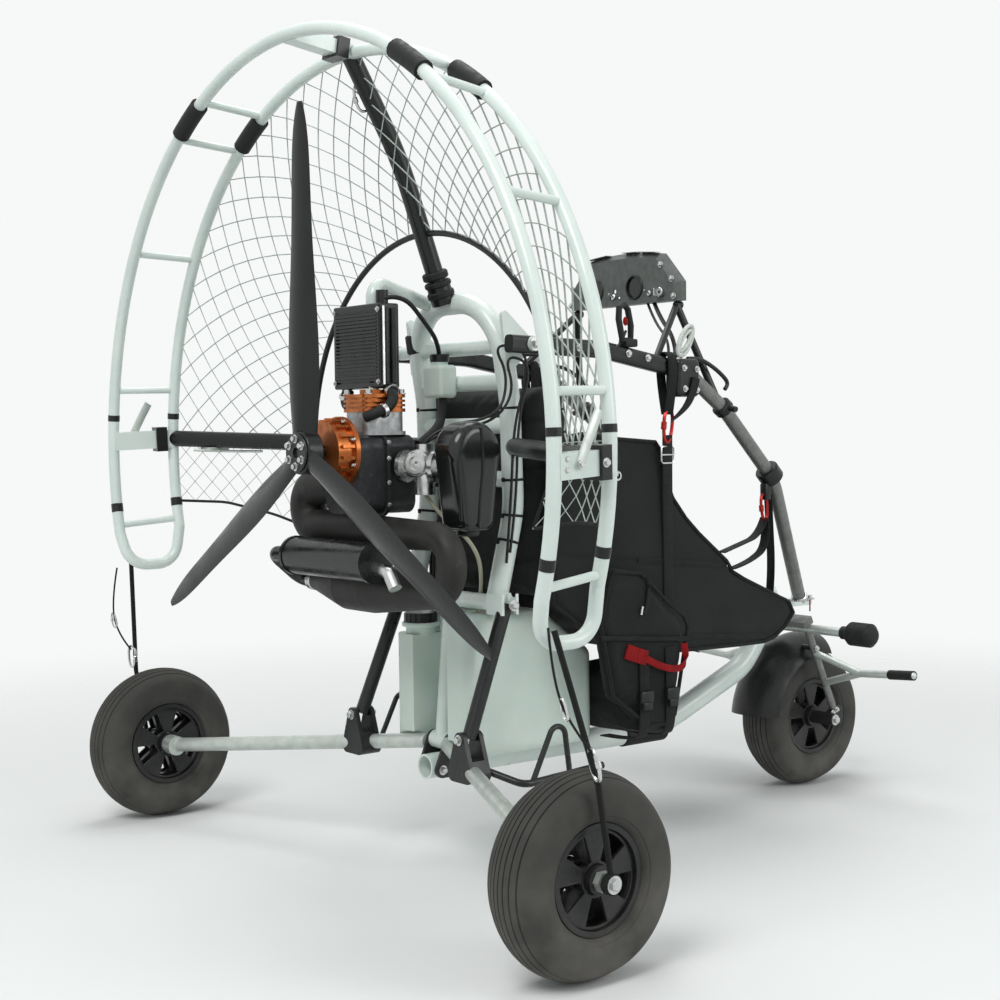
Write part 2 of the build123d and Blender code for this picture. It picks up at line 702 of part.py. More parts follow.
# Fuel tank: blow-moulded, recessed at the rear round the post, with a step for the filler and a sloped nose
def fuel_tank():
    floor = KEEL_Z + KEEL_DIAMETER / 2 + SEAT
    outline = [
        (TANK_REAR_X, floor),
        (TANK_FRONT_X, floor),
        (TANK_FRONT_X, TANK_NOSE_Z),
        (TANK_SHOULDER_X, TANK_TOP_Z),
        (TANK_REAR_X, TANK_TOP_Z),
    ]
    body = fillet(side_plate(outline, -TANK_WIDTH / 2, TANK_WIDTH / 2).edges(), TANK_ROUND)
    recess_length = 2 * (TANK_RECESS_X - TANK_REAR_X)
    recess_face = RectangleRounded(recess_length, TANK_RECESS_WIDTH, TANK_RECESS_ROUND)
    recess = Pos(TANK_REAR_X, 0, 0) * extrude(recess_face, amount=FAR)
    step_y = TANK_RECESS_WIDTH / 2
    step = block((TANK_REAR_X - ROOM, step_y, TANK_STEP_Z), (TANK_STEP_X, TANK_WIDTH, FAR))
    body = without(body, [recess, step, *both_sides(axle_tube(ROOM))])
    neck = rod((neck_x, neck_y, TANK_STEP_Z - ROOM), (neck_x, neck_y, neck_top), NECK_DIAMETER)
    return joined([body, neck])


neck_x = TANK_REAR_X + NECK_INSET_X
neck_y = TANK_WIDTH / 2 - NECK_INSET_Y
neck_top = TANK_STEP_Z + NECK_HEIGHT
pieces["fuel_tank"] = fuel_tank()
cap = rod((neck_x, neck_y, neck_top), (neck_x, neck_y, neck_top + CAP_HEIGHT), CAP_DIAMETER)
cap = chamfer(cap.edges().sort_by(Axis.Z)[-1], CAP_GRIP_DIAMETER / 2)
cap_flutes = []
for step in range(CAP_GRIPS):
    turned = radians(360 / CAP_GRIPS * step)
    flute_x = neck_x + CAP_DIAMETER / 2 * cos(turned)
    flute_y = neck_y + CAP_DIAMETER / 2 * sin(turned)
    cap_flutes.append(rod((flute_x, flute_y, neck_top + ROOM), (flute_x, flute_y, FAR), CAP_GRIP_DIAMETER))
pieces["tank_cap"] = without(cap, cap_flutes)


# Engine: crankcase halves, cylinder, grooved head, ribbed reduction cover and rubber mounts
crank_rear = REDUCTION_X + REDUCTION_LENGTH
crank_front = crank_rear + CRANKCASE_LENGTH
crank_top = CRANKCASE_Z + CRANKCASE_HEIGHT / 2


def crank_slice(x_low, x_high, lip):
    """Length of the crankcase with rounded long edges, grown by a lip."""
    half_width = CRANKCASE_WIDTH / 2 + lip
    low = (x_low, -half_width, CRANKCASE_Z - CRANKCASE_HEIGHT / 2 - lip)
    slab = block(low, (x_high, half_width, crank_top))
    return fillet(slab.edges().filter_by(Axis.X), CRANKCASE_ROUND)


crank_middle = (crank_rear + crank_front) / 2
ignition_line = [(crank_front - ROOM, 0, CRANKCASE_Z), (crank_front + IGNITION_COVER, 0, CRANKCASE_Z)]
ignition_cover = rod(*ignition_line, IGNITION_COVER_DIAMETER)
joint_rear = crank_middle - CRANKCASE_JOINT / 2
crank_joint = crank_slice(joint_rear, joint_rear + CRANKCASE_JOINT, CRANKCASE_LIP)
pieces["crankcase"] = joined([crank_slice(crank_rear, crank_front, 0.0), crank_joint, ignition_cover])
cylinder_x = crank_middle + CYLINDER_OFFSET
head_z = crank_top + CYLINDER_HEIGHT


def square_block(side, z_low, z_high, corner):
    """Upright block with rounded corners on the cylinder's centre line."""
    return Pos(cylinder_x, 0, z_low) * extrude(RectangleRounded(side, side, corner), amount=z_high - z_low)


corner = CYLINDER_SIDE / 4
cylinder_foot = square_block(HEAD_SIDE, crank_top, crank_top + CYLINDER_FOOT, corner)
pieces["cylinder"] = joined([cylinder_foot, square_block(CYLINDER_SIDE, crank_top, head_z, corner)])
head = square_block(HEAD_SIDE, head_z, head_z + HEAD_HEIGHT, corner)
head_step = HEAD_HEIGHT / (HEAD_GROOVES + 1)
for step in range(HEAD_GROOVES):
    groove_z = head_z + head_step * (step + 1) - HEAD_GROOVE / 2
    core = square_block(HEAD_SIDE - 2 * HEAD_GROOVE_DEPTH, groove_z, groove_z + HEAD_GROOVE, corner / 2)
    head = head - (square_block(2 * HEAD_SIDE, groove_z, groove_z + HEAD_GROOVE, corner) - core)
dome_line = [(cylinder_x, 0, head_z + HEAD_HEIGHT), (cylinder_x, 0, head_z + HEAD_HEIGHT + HEAD_DOME)]
pieces["cylinder_head"] = joined([head, rod(*dome_line, HEAD_DOME_DIAMETER)])


def reduction_cover():
    drum = rod((REDUCTION_X, 0, PROP_Z), (crank_rear, 0, PROP_Z), REDUCTION_DIAMETER)
    flange_line = [(crank_rear - REDUCTION_FLANGE, 0, PROP_Z), (crank_rear, 0, PROP_Z)]
    flange = rod(*flange_line, REDUCTION_FLANGE_DIAMETER)
    rib_reach = REDUCTION_FLANGE_DIAMETER / 2 - REDUCTION_RIB / 2
    rib_root = PROP_Z + REDUCTION_DIAMETER / 2 - REDUCTION_RIB
    rib_low = (REDUCTION_X + REDUCTION_RIB, -REDUCTION_RIB / 2, rib_root)
    rib = block(rib_low, (crank_rear, REDUCTION_RIB / 2, PROP_Z + rib_reach))
    ribs = [rib.rotate(prop_axis, 360 / REDUCTION_RIBS * step) for step in range(REDUCTION_RIBS)]
    bore_line = [(REDUCTION_X - ROOM, 0, PROP_Z), (REDUCTION_X + PROP_SHAFT + END_PLAY, 0, PROP_Z)]
    return joined([drum, flange, *ribs]) - rod(*bore_line, PROP_SHAFT_DIAMETER + 2 * RUNNING)


prop_axis = Axis((PROP_X, 0, PROP_Z), (1, 0, 0))
pieces["reduction_cover"] = reduction_cover()
cross_room = frame_cross(FRAME_BELLY_X, ENGINE_CROSS_Z, FRAME_HALF_WIDTH, FRAME_CROSS_DIAMETER + 2 * SEAT)
mount_end = (FRAME_BELLY_X, MOUNT_HALF_WIDTH, ENGINE_CROSS_Z)
rubber_end = (crank_front + MOUNT_RUBBER, MOUNT_HALF_WIDTH, ENGINE_CROSS_Z)
mount_root = (crank_front, MOUNT_HALF_WIDTH, ENGINE_CROSS_Z)
rubber = rod(mount_root, rubber_end, MOUNT_RUBBER_DIAMETER)
mount = joined([rod(mount_root, mount_end, MOUNT_DIAMETER), rubber])
mount = without(mount, [cross_room, pieces["crankcase"]])
pieces["engine_mounts"] = Compound(children=both_sides(mount))


# Propeller: hub with a shaft into the reduction gear, three lofted blades
BLADE_SECTIONS = [
    # share of the radius, chord, thickness, pitch
    (0.05, 56.0, 26.0, 24.0),
    (0.24, 76.0, 17.0, 17.0),
    (0.45, 70.0, 12.0, 13.0),
    (0.72, 54.0, 8.0, 10.0),
    (0.94, 36.0, 5.0, 9.0),
    (1.00, 16.0, 3.5, 8.0),
]


def blade():
    faces = []
    for share, chord, thickness, pitch in BLADE_SECTIONS:
        half = chord / 2
        back = ThreePointArc((-half, 0), (0, thickness * 0.65), (half, 0))
        face = ThreePointArc((half, 0), (0, -thickness * 0.35), (-half, 0))
        radius = share * PROP_DIAMETER / 2
        plane = Plane(origin=(PROP_X, 0, PROP_Z + radius), x_dir=(0, 1, 0), z_dir=(0, 0, 1))
        faces.append(plane * Rot(0, 0, pitch) * make_face([back, face]))
    return loft(faces)


hub_half = PROP_HUB_LENGTH / 2
hub = rod((PROP_X - hub_half, 0, PROP_Z), (PROP_X + hub_half, 0, PROP_Z), PROP_HUB_DIAMETER)
hub_room = rod((PROP_X - hub_half, 0, PROP_Z), (PROP_X + hub_half, 0, PROP_Z), PROP_HUB_DIAMETER + 2 * SEAT)
hub = fillet(hub.edges().filter_by(GeomType.CIRCLE), PROP_HUB_ROUND)
prop_shaft = rod((PROP_X, 0, PROP_Z), (REDUCTION_X + PROP_SHAFT, 0, PROP_Z), PROP_SHAFT_DIAMETER)
pieces["propeller_hub"] = joined([hub, prop_shaft])
blades = [blade().rotate(prop_axis, 120 * step) - hub_room for step in range(3)]
pieces["propeller_blades"] = Compound(children=blades)


# Airbox and carburettor on the right of the engine
def airbox():
    half = AIRBOX_LENGTH / 2
    half_foot = AIRBOX_FOOT_LENGTH / 2
    outline = make_face(
        [
            Line((AIRBOX_X - half_foot, AIRBOX_LOW_Z), (AIRBOX_X + half_foot, AIRBOX_LOW_Z)),
            Line((AIRBOX_X + half_foot, AIRBOX_LOW_Z), (AIRBOX_X + half, AIRBOX_SHOULDER_Z)),
            ThreePointArc(
                (AIRBOX_X + half, AIRBOX_SHOULDER_Z),
                (AIRBOX_X, AIRBOX_TOP_Z),
                (AIRBOX_X - half, AIRBOX_SHOULDER_Z),
            ),
            Line((AIRBOX_X - half, AIRBOX_SHOULDER_Z), (AIRBOX_X - half_foot, AIRBOX_LOW_Z)),
        ]
    )
    shell = Plane.XZ * extrude(outline, amount=AIRBOX_WIDTH)
    return fillet((Pos(0, AIRBOX_Y + AIRBOX_WIDTH / 2, 0) * shell).edges(), AIRBOX_ROUND)


pieces["airbox"] = airbox()
carb_start = (CARB_X, -CRANKCASE_WIDTH / 2, CARB_Z)
carb_end = (CARB_X + CARB_SWEEP, AIRBOX_Y, CARB_Z)
carb_middle = between(carb_start, carb_end, 0.36)
carb_run = Vector(*carb_end) - Vector(*carb_start)
flange_end = between(carb_start, carb_end, CARB_FLANGE / carb_run.length)
ring_start = between(carb_start, carb_end, 0.56)
ring_end = between(carb_start, carb_end, 0.56 + CARB_FLANGE / carb_run.length)
bowl_foot = (carb_middle[0], carb_middle[1], CARB_Z - CARB_BOWL_DROP)
cap_top = (carb_middle[0], carb_middle[1], CARB_Z + CARB_CAP_RISE)
carburettor = joined(
    [
        rod(carb_start, carb_end, CARB_DIAMETER),
        rod(carb_start, flange_end, CARB_FLANGE_DIAMETER),
        rod(ring_start, ring_end, CARB_FLANGE_DIAMETER),
        rod(carb_middle, bowl_foot, CARB_BOWL_DIAMETER),
        rod(carb_middle, cap_top, CARB_CAP_DIAMETER),
    ]
)
carb_neighbours = [pieces[node] for node in ("airbox", "crankcase", "cylinder", "engine_mounts")]
pieces["carburettor"] = without(carburettor, carb_neighbours)


# Radiator with slotted core, side columns and cap, on a bent carrier tube from the arch
def radiator():
    low = (RADIATOR_X, RADIATOR_Y, RADIATOR_Z)
    high = (RADIATOR_X + RADIATOR_DEPTH, RADIATOR_Y + RADIATOR_WIDTH, radiator_top)
    body = fillet(block(low, high).edges(), RADIATOR_SLOT)
    pitch = (RADIATOR_HEIGHT - 2 * RADIATOR_FRAME) / RADIATOR_FINS
    slots = []
    for step in range(RADIATOR_FINS):
        slot_z = RADIATOR_Z + RADIATOR_FRAME + pitch * step
        slot_low = (RADIATOR_X - ROOM, RADIATOR_Y + RADIATOR_FRAME, slot_z)
        slot_high = (RADIATOR_X + RADIATOR_SLOT, high[1] - RADIATOR_FRAME, slot_z + pitch / 2)
        slots.append(block(slot_low, slot_high))
    columns = []
    for share in (0.28, 0.72):
        column_x = RADIATOR_X + share * RADIATOR_DEPTH
        column_low = (column_x, RADIATOR_Y, RADIATOR_Z + RADIATOR_FRAME)
        column_high = (column_x, RADIATOR_Y, radiator_top - RADIATOR_FRAME)
        columns.append(rod(column_low, column_high, RADIATOR_COLUMN_DIAMETER))
    cap_low = (carrier_x, RADIATOR_Y + RADIATOR_CAP_DIAMETER, radiator_top - ROOM)
    cap_high = (carrier_x, RADIATOR_Y + RADIATOR_CAP_DIAMETER, radiator_top + RADIATOR_CAP_HEIGHT)
    return joined([without(body, slots), *columns, rod(cap_low, cap_high, RADIATOR_CAP_DIAMETER)])


radiator_top = RADIATOR_Z + RADIATOR_HEIGHT
carrier_x = RADIATOR_X + RADIATOR_DEPTH / 2
pieces["radiator"] = radiator()
carrier_y = RADIATOR_Y + RADIATOR_WIDTH / 3


def carrier(extra=0.0):
    points = [
        (FRAME_TOP_X, 2 * carrier_y + CARRIER_DIAMETER, FRAME_TOP_Z - SEAT_REST),
        (carrier_x, carrier_y, radiator_top + CARRIER_RISE),
        (carrier_x, carrier_y, radiator_top + SEAT),
    ]
    return bent_tube(points, CARRIER_DIAMETER + 2 * extra, [CARRIER_BEND])


pieces["radiator_carrier"] = without(carrier(), both_sides(upright(SEAT)))
bottle_x = upper_x - FRAME_CROSS_DIAMETER / 2 - SEAT - BOTTLE_SIZE[0] / 2
bottle = Pos(bottle_x, BOTTLE_Y, UPPER_CROSS_Z + ROOM) * Box(*BOTTLE_SIZE)
bottle = fillet(bottle.edges(), BOTTLE_ROUND)
bottle_top = UPPER_CROSS_Z + ROOM + BOTTLE_SIZE[2] / 2
neck_line = [(bottle_x, BOTTLE_Y, bottle_top - ROOM), (bottle_x, BOTTLE_Y, bottle_top + BOTTLE_NECK)]
pieces["coolant_bottle"] = joined([bottle, rod(*neck_line, BOTTLE_NECK_DIAMETER)])


# Exhaust: header, elbow, return run, return bend and tuned belly, with a cross-mounted silencer
def half_turn(y, z_low, z_high, diameter, side):
    """Pipe bend from one level run to the next, bulging to the left for side 1 and right for side -1."""
    bend = (z_high - z_low) / 2
    section = Plane.XZ * Pos(EXHAUST_X, z_low) * Circle(diameter / 2)
    turn = revolve(section, axis=Axis((EXHAUST_X, 0, z_low + bend), (side, 0, 0)), revolution_arc=180)
    return Pos(0, y, 0) * turn


def exhaust_pipe():
    def at(y, z):
        return (EXHAUST_X, y, z)

    port = CRANKCASE_WIDTH / 2
    return joined(
        [
            taper(at(port, EXHAUST_HEADER_Z), at(EXHAUST_LEFT_Y, EXHAUST_HEADER_Z),
                  EXHAUST_PORT_DIAMETER, EXHAUST_ELBOW_DIAMETER),
            half_turn(EXHAUST_LEFT_Y, EXHAUST_UPPER_Z, EXHAUST_HEADER_Z, EXHAUST_ELBOW_DIAMETER, 1),
            taper(at(EXHAUST_LEFT_Y, EXHAUST_UPPER_Z), at(EXHAUST_RIGHT_Y, EXHAUST_UPPER_Z),
                  EXHAUST_ELBOW_DIAMETER, EXHAUST_RETURN_DIAMETER),
            half_turn(EXHAUST_RIGHT_Y, EXHAUST_LOWER_Z, EXHAUST_UPPER_Z, EXHAUST_RETURN_DIAMETER, -1),
            taper(at(EXHAUST_RIGHT_Y, EXHAUST_LOWER_Z), at(EXHAUST_BELLY_RIGHT_Y, EXHAUST_LOWER_Z),
                  EXHAUST_RETURN_DIAMETER, EXHAUST_BELLY_DIAMETER),
            rod(at(EXHAUST_BELLY_RIGHT_Y, EXHAUST_LOWER_Z), at(EXHAUST_BELLY_LEFT_Y, EXHAUST_LOWER_Z),
                EXHAUST_BELLY_DIAMETER),
            taper(at(EXHAUST_BELLY_LEFT_Y, EXHAUST_LOWER_Z), at(EXHAUST_END_Y, EXHAUST_LOWER_Z),
                  EXHAUST_BELLY_DIAMETER, EXHAUST_END_DIAMETER),
        ]
    )


pieces["exhaust_pipe"] = exhaust_pipe() - pieces["crankcase"]


def silencer():
    def at(y, z=SILENCER_Z):
        return (SILENCER_X, y, z)

    drum = rod(at(SILENCER_RIGHT_Y), at(SILENCER_LEFT_Y), SILENCER_DIAMETER)
    bands = []
    for band_y in (SILENCER_RIGHT_Y, SILENCER_LEFT_Y - SILENCER_BAND):
        bands.append(rod(at(band_y), at(band_y + SILENCER_BAND), SILENCER_DIAMETER + 2 * SILENCER_BAND_RISE))
    reach_y = EXHAUST_END_Y + SILENCER_INLET_REACH
    inlet_points = [
        (EXHAUST_X, EXHAUST_END_Y, EXHAUST_LOWER_Z),
        (EXHAUST_X, reach_y, EXHAUST_LOWER_Z),
        at(reach_y),
        at(SILENCER_LEFT_Y - ROOM),
    ]
    inlet = bent_tube(inlet_points, SILENCER_INLET_DIAMETER, [SILENCER_INLET_BEND, SILENCER_INLET_BEND])
    outlet_z = SILENCER_Z - SILENCER_OUTLET_DIAMETER / 2
    outlet_drop = SILENCER_OUTLET_DIAMETER * 1.4
    outlet_points = [
        at(SILENCER_RIGHT_Y + ROOM, outlet_z),
        at(SILENCER_RIGHT_Y - 2 * SILENCER_OUTLET_DIAMETER, outlet_z),
        at(SILENCER_RIGHT_Y - 3 * SILENCER_OUTLET_DIAMETER, outlet_z - outlet_drop),
    ]
    outlet = bent_tube(outlet_points, SILENCER_OUTLET_DIAMETER, [SILENCER_OUTLET_BEND])
    return joined([drum, *bands, inlet, outlet])


pieces["silencer"] = silencer() - pieces["exhaust_pipe"]


# Propeller cage: two hoops, and the rungs, arm sockets and bent feet that tie them
def hoop_point(x, z, radius, angle):
    turned = radians(angle)
    return (x, radius * cos(turned), z + radius * sin(turned))


def rear_point(angle):
    return hoop_point(REAR_HOOP_X, REAR_HOOP_Z, REAR_HOOP_RADIUS, angle + HOOP_TURN)


def front_point(angle):
    return hoop_point(FRONT_HOOP_X, FRONT_HOOP_Z, FRONT_HOOP_RADIUS, angle + HOOP_TURN)


def hoop(point_at, extra=0.0):
    path = ThreePointArc(point_at(-FOOT_ANGLE), point_at(90), point_at(180 + FOOT_ANGLE))
    return sweep(Plane(origin=path @ 0, z_dir=path % 0) * Circle(HOOP_DIAMETER / 2 + extra), path=path)


def hoop_foot(angle):
    """Bend that carries one hoop's tube round into the other's at a foot."""
    front = front_point(angle)
    rear = rear_point(angle)
    side = (front[1] + rear[1]) / 2 * 0.985
    low = min(front[2], rear[2]) - FOOT_DROP
    front_low = (FRONT_HOOP_X - HOOP_DIAMETER / 2, side, low)
    rear_low = (REAR_HOOP_X + HOOP_DIAMETER / 2, side, low)
    bend = bent_tube([front, front_low, rear_low, rear], HOOP_DIAMETER, [FOOT_BEND * 0.9, FOOT_BEND * 0.9])
    return joined([bend, ball(front, HOOP_DIAMETER), ball(rear, HOOP_DIAMETER)])


def arm_socket(angle, width, depth, start, end):
    """Square bar across the two hoops, between two shares of the way from the rear to the front one."""
    run = Vector(*front_point(angle)) - Vector(*rear_point(angle))
    turned = radians(angle + HOOP_TURN)
    origin = between(rear_point(angle), front_point(angle), start)
    plane = Plane(origin=origin, x_dir=(0, -sin(turned), cos(turned)), z_dir=run)
    low = (Align.CENTER, Align.CENTER, Align.MIN)
    return plane * Box(width, depth, run.length * (end - start), align=low)


RUNGS = [-14.0, 8.5, 32.2, 55.0, 64.0, 116.0, 125.0, 146.5, 171.5, 194.0]
SOCKETS = [0.0, 90.0, 180.0]
hoops = [hoop(rear_point), hoop(front_point)]
pieces["cage_hoops"] = Compound(children=hoops)
hoop_rooms = [hoop(rear_point, SEAT), hoop(front_point, SEAT)]
cage_ties = [rod(rear_point(angle), front_point(angle), RUNG_DIAMETER) for angle in RUNGS]
cage_ties += [arm_socket(angle, SOCKET_WIDTH, SOCKET_DEPTH, 0, 1) for angle in SOCKETS]
cage_ties += [hoop_foot(angle) for angle in (-FOOT_ANGLE, 180 + FOOT_ANGLE)]
cage_ties = [without(tie, hoop_rooms).solids().sort_by(SortBy.VOLUME)[-1] for tie in cage_ties]
pieces["cage_rungs"] = Compound(children=cage_ties)


# Cage arms: black tubes from the engine frame to the three sockets, each with a clamp collar at its socket
arm_root_z = PROP_Z + ROOM
arms = []
collars = []
socket_rooms = []
for angle, side in ((0.0, 1), (180.0, -1)):
    arm_root = (FRAME_BELLY_X, side * FRAME_HALF_WIDTH, arm_root_z)
    arms.append(rod(arm_root, front_point(angle), ARM_DIAMETER))
top_foot = (FRAME_TOP_X - FRAME_DIAMETER / 2, 0.0, FRAME_TOP_Z)
top_bend = (between(front_point(90.0), top_foot, 0.55)[0], 0.0, between(front_point(90.0), top_foot, 0.4)[2])
boot_start = between(top_bend, top_foot, ARM_BOOT_SHARE)
top_arm = bent_tube([front_point(90.0), top_bend, top_foot], ARM_DIAMETER, [ARM_BEND])
arms.append(joined([top_arm, rod(boot_start, top_foot, ARM_BOOT_DIAMETER)]))
hoop_gap = FRONT_HOOP_X - REAR_HOOP_X
for angle in SOCKETS:
    collar_end = 1 - COLLAR_SETBACK / hoop_gap
    ring = arm_socket(angle, COLLAR_WIDTH, COLLAR_DEPTH, collar_end - COLLAR_LENGTH / hoop_gap, collar_end)
    room = arm_socket(angle, SOCKET_WIDTH + 2 * SEAT, SOCKET_DEPTH + 2 * SEAT, 0, 1)
    collars.append(ring - room)
    socket_rooms.append(room)
arm_cutters = [*hoop_rooms, *both_sides(upright(SEAT)), carrier(SEAT), *socket_rooms]
arms = [without(arm, arm_cutters).solids().sort_by(SortBy.VOLUME)[-1] for arm in arms]
pieces["cage_arms"] = Compound(children=[*arms, *collars])


# Net rim: arch that holds the inner edge of the net on the three arms
def rim_point(angle):
    return hoop_point(NET_RIM_X, PROP_Z + NET_RIM_LIFT, NET_RIM_RADIUS, angle)


rim_path = ThreePointArc(rim_point(0.0), rim_point(90.0), rim_point(180.0))
rim_bar = sweep(Plane(origin=rim_path @ 0, z_dir=rim_path % 0) * Circle(NET_RIM_DIAMETER / 2), path=rim_path)
pieces["net_rim"] = without(rim_bar, arms)


# Net: a thin band from the front hoop in to the net rim, in two halves beside the top arm
def net():
    outer_x = FRONT_HOOP_X + HOOP_DIAMETER / 4
    outer_radius = FRONT_HOOP_RADIUS - HOOP_DIAMETER / 4
    outline = Polyline(
        (outer_x, outer_radius),
        (NET_RIM_X, NET_RIM_RADIUS),
        (NET_RIM_X + NET_THICKNESS, NET_RIM_RADIUS),
        (outer_x + NET_THICKNESS, outer_radius),
        close=True,
    )
    band = revolve(make_face(outline), axis=Axis.X, revolution_arc=180)
    band = Pos(0, 0, FRONT_HOOP_Z) * Rot(HOOP_TURN, 0, 0) * band
    halves = without(band, [*hoop_rooms, *arms, pieces["net_rim"]]).solids()
    return Compound(children=list(halves.sort_by(SortBy.VOLUME)[-2:]))


pieces["net"] = net()


# Hang arms: rounded bars from the pivot tube to the shoes that hold the front stays
def hang_arm():
    points = [
        (HANG_PIVOT_X - HANG_ARM_TAIL, HANG_ARM_Y, HANG_PIVOT_Z),
        (HANG_BEND_X, HANG_ARM_Y, HANG_BEND_Z),
        (HANG_FRONT_X, HANG_ARM_Y, HANG_FRONT_Z),
    ]
    path = FilletPolyline(*points, radius=[HANG_ARM_BEND])
    section = RectangleRounded(HANG_ARM_WIDTH, HANG_ARM_HEIGHT, HANG_ARM_ROUND)
    bar = sweep(Plane(origin=path @ 0, x_dir=(0, 1, 0), z_dir=path % 0) * section, path=path)
    shoe_z = HANG_FRONT_Z - HANG_SHOE_HEIGHT * 0.62
    shoe_low = (HANG_FRONT_X - HANG_SHOE, HANG_ARM_Y - HANG_SHOE_WIDTH / 2, shoe_z)
    shoe = block(shoe_low, (HANG_FRONT_X, HANG_ARM_Y + HANG_SHOE_WIDTH / 2, shoe_low[2] + HANG_SHOE_HEIGHT))
    shoe = fillet(shoe.edges(), HANG_SHOE_ROUND)
    pivot = frame_cross(HANG_PIVOT_X, HANG_PIVOT_Z, FAR, HANG_PIVOT_DIAMETER + 2 * SEAT)
    hole = frame_cross(HANG_HOLE_X, HANG_HOLE_Z, FAR, HANG_HOLE_DIAMETER)
    return without(joined([bar, shoe]), [pivot, hole])


pieces["hang_arms"] = Compound(children=both_sides(hang_arm()))


# Front stays: bent tubes from the hang arms down to the steering head's yoke
def front_stay():
    top = (HANG_FRONT_X - STAY_DIAMETER / 2, HANG_ARM_Y, HANG_FRONT_Z)
    foot = (head_top[0] + STAY_DIAMETER / 4, STAY_FOOT_Y, yoke_z)
    points = [top]
    for share, height, inset in ((0.22, 0.858, 0.0), (0.57, 0.567, 0.14)):
        x = top[0] + share * (foot[0] - top[0])
        y = top[1] + inset * (foot[1] - top[1])
        points.append((x, y, foot[2] + height * (top[2] - foot[2])))
    points.append(foot)
    return bent_tube(points, STAY_DIAMETER, [STAY_BEND, STAY_BEND])


arm_end = block((0, -FAR, yoke_z + HEAD_TUBE), (HANG_FRONT_X + SEAT, FAR, FAR))
yoke_below = block((-FAR, -FAR, -FAR), (FAR, FAR, yoke_z + YOKE_THICKNESS))
stays = [without(stay, [arm_end, yoke_below, pieces["hang_arms"]]) for stay in both_sides(front_stay())]
pieces["front_stays"] = Compound(children=stays)


# Dash: bevelled hood with two instrument pods, on two posts over the front ends of the hang arms
def dash_outline(inset):
    half = DASH_WIDTH / 2 - inset
    low = DASH_Z + inset
    shoulder = DASH_Z + DASH_HEIGHT * DASH_SHOULDER - inset / 2
    top = DASH_Z + DASH_HEIGHT - inset
    corner = half - DASH_CORNER + inset / 2
    outline = make_face(
        [
            Line((-half, low), (half, low)),
            Line((half, low), (half, shoulder)),
            Line((half, shoulder), (corner, top - DASH_ARCH)),
            ThreePointArc((corner, top - DASH_ARCH), (0, top), (-corner, top - DASH_ARCH)),
            Line((-corner, top - DASH_ARCH), (-half, shoulder)),
            Line((-half, shoulder), (-half, low)),
        ]
    )
    return Plane(origin=(DASH_X, 0, 0), x_dir=(0, 1, 0), z_dir=(1, 0, 0)) * outline


def dash_panel():
    hood = extrude(dash_outline(0.0), amount=DASH_DEPTH, dir=(1, 0, 0))
    rear_edges = hood.faces().sort_by(Axis.X)[0].edges().sort_by(Axis.Z)[1:]
    hood = chamfer(rear_edges, DASH_BEVEL)
    hollow = Pos(DASH_BEVEL, 0, 0) * extrude(dash_outline(DASH_WALL), amount=DASH_DEPTH, dir=(1, 0, 0))
    inner = extrude(dash_outline(DASH_BEVEL + DASH_WALL), amount=DASH_DEPTH, dir=(1, 0, 0))
    inner = Pos(DASH_WALL, 0, 0) * inner
    hood = without(hood, [hollow, inner])
    pod_z = DASH_Z + DASH_POD_RISE
    pod_gap = DASH_WIDTH * 0.18
    for pod_y in (1.3 * pod_gap, -0.7 * pod_gap):
        pod_end = DASH_X + DASH_POD_DEPTH + DASH_WALL
        pod_line = [(DASH_X + DASH_WALL / 2, pod_y, pod_z), (pod_end, pod_y, pod_z)]
        pod = rod(*pod_line, DASH_POD_DIAMETER + 2 * DASH_WALL)
        well = rod((DASH_X - ROOM, pod_y, pod_z), (DASH_X + DASH_POD_DEPTH, pod_y, pod_z), DASH_POD_DIAMETER)
        hood = joined([hood, pod]) - well
    for hole_y, hole_rise in ((0.3, 0.6), (0.5, 0.15), (0.1, 0.15)):
        hole_z = DASH_Z + hole_rise * DASH_POD_RISE + DASH_HOLE_DIAMETER
        side_y = hole_y * pod_gap
        hole_line = [(DASH_X - ROOM, side_y, hole_z), (DASH_X + DASH_BEVEL, side_y, hole_z)]
        hood = hood - rod(*hole_line, DASH_HOLE_DIAMETER)
    return hood


pieces["dash_panel"] = dash_panel()


def dash_post():
    post_y = DASH_WIDTH / 2 - POST_INSET
    lower = (HANG_FRONT_X + POST_SPLAY, HANG_ARM_Y, HANG_FRONT_Z - POST_SPLAY * 0.82)
    upper = (DASH_X + DASH_DEPTH / 2, post_y, DASH_Z - POST_ROD_DIAMETER / 2 - SEAT)
    top = (DASH_X + DASH_DEPTH, post_y, DASH_Z - POST_ROD_DIAMETER / 2 - SEAT)
    brace_x = HANG_BEND_X + (HANG_FRONT_X - HANG_BEND_X) * 0.56
    brace = (brace_x, HANG_ARM_Y, HANG_FRONT_Z + HANG_ARM_HEIGHT / 2)
    whole = joined(
        [
            rod(lower, upper, POST_ROD_DIAMETER),
            rod(brace, upper, POST_BRACE_DIAMETER),
            ball(upper, POST_ROD_DIAMETER),
            rod(upper, top, POST_ROD_DIAMETER),
        ]
    )
    return without(whole, [pieces["hang_arms"], pieces["front_stays"], pieces["dash_panel"]])


pieces["dash_posts"] = Compound(children=both_sides(dash_post()))


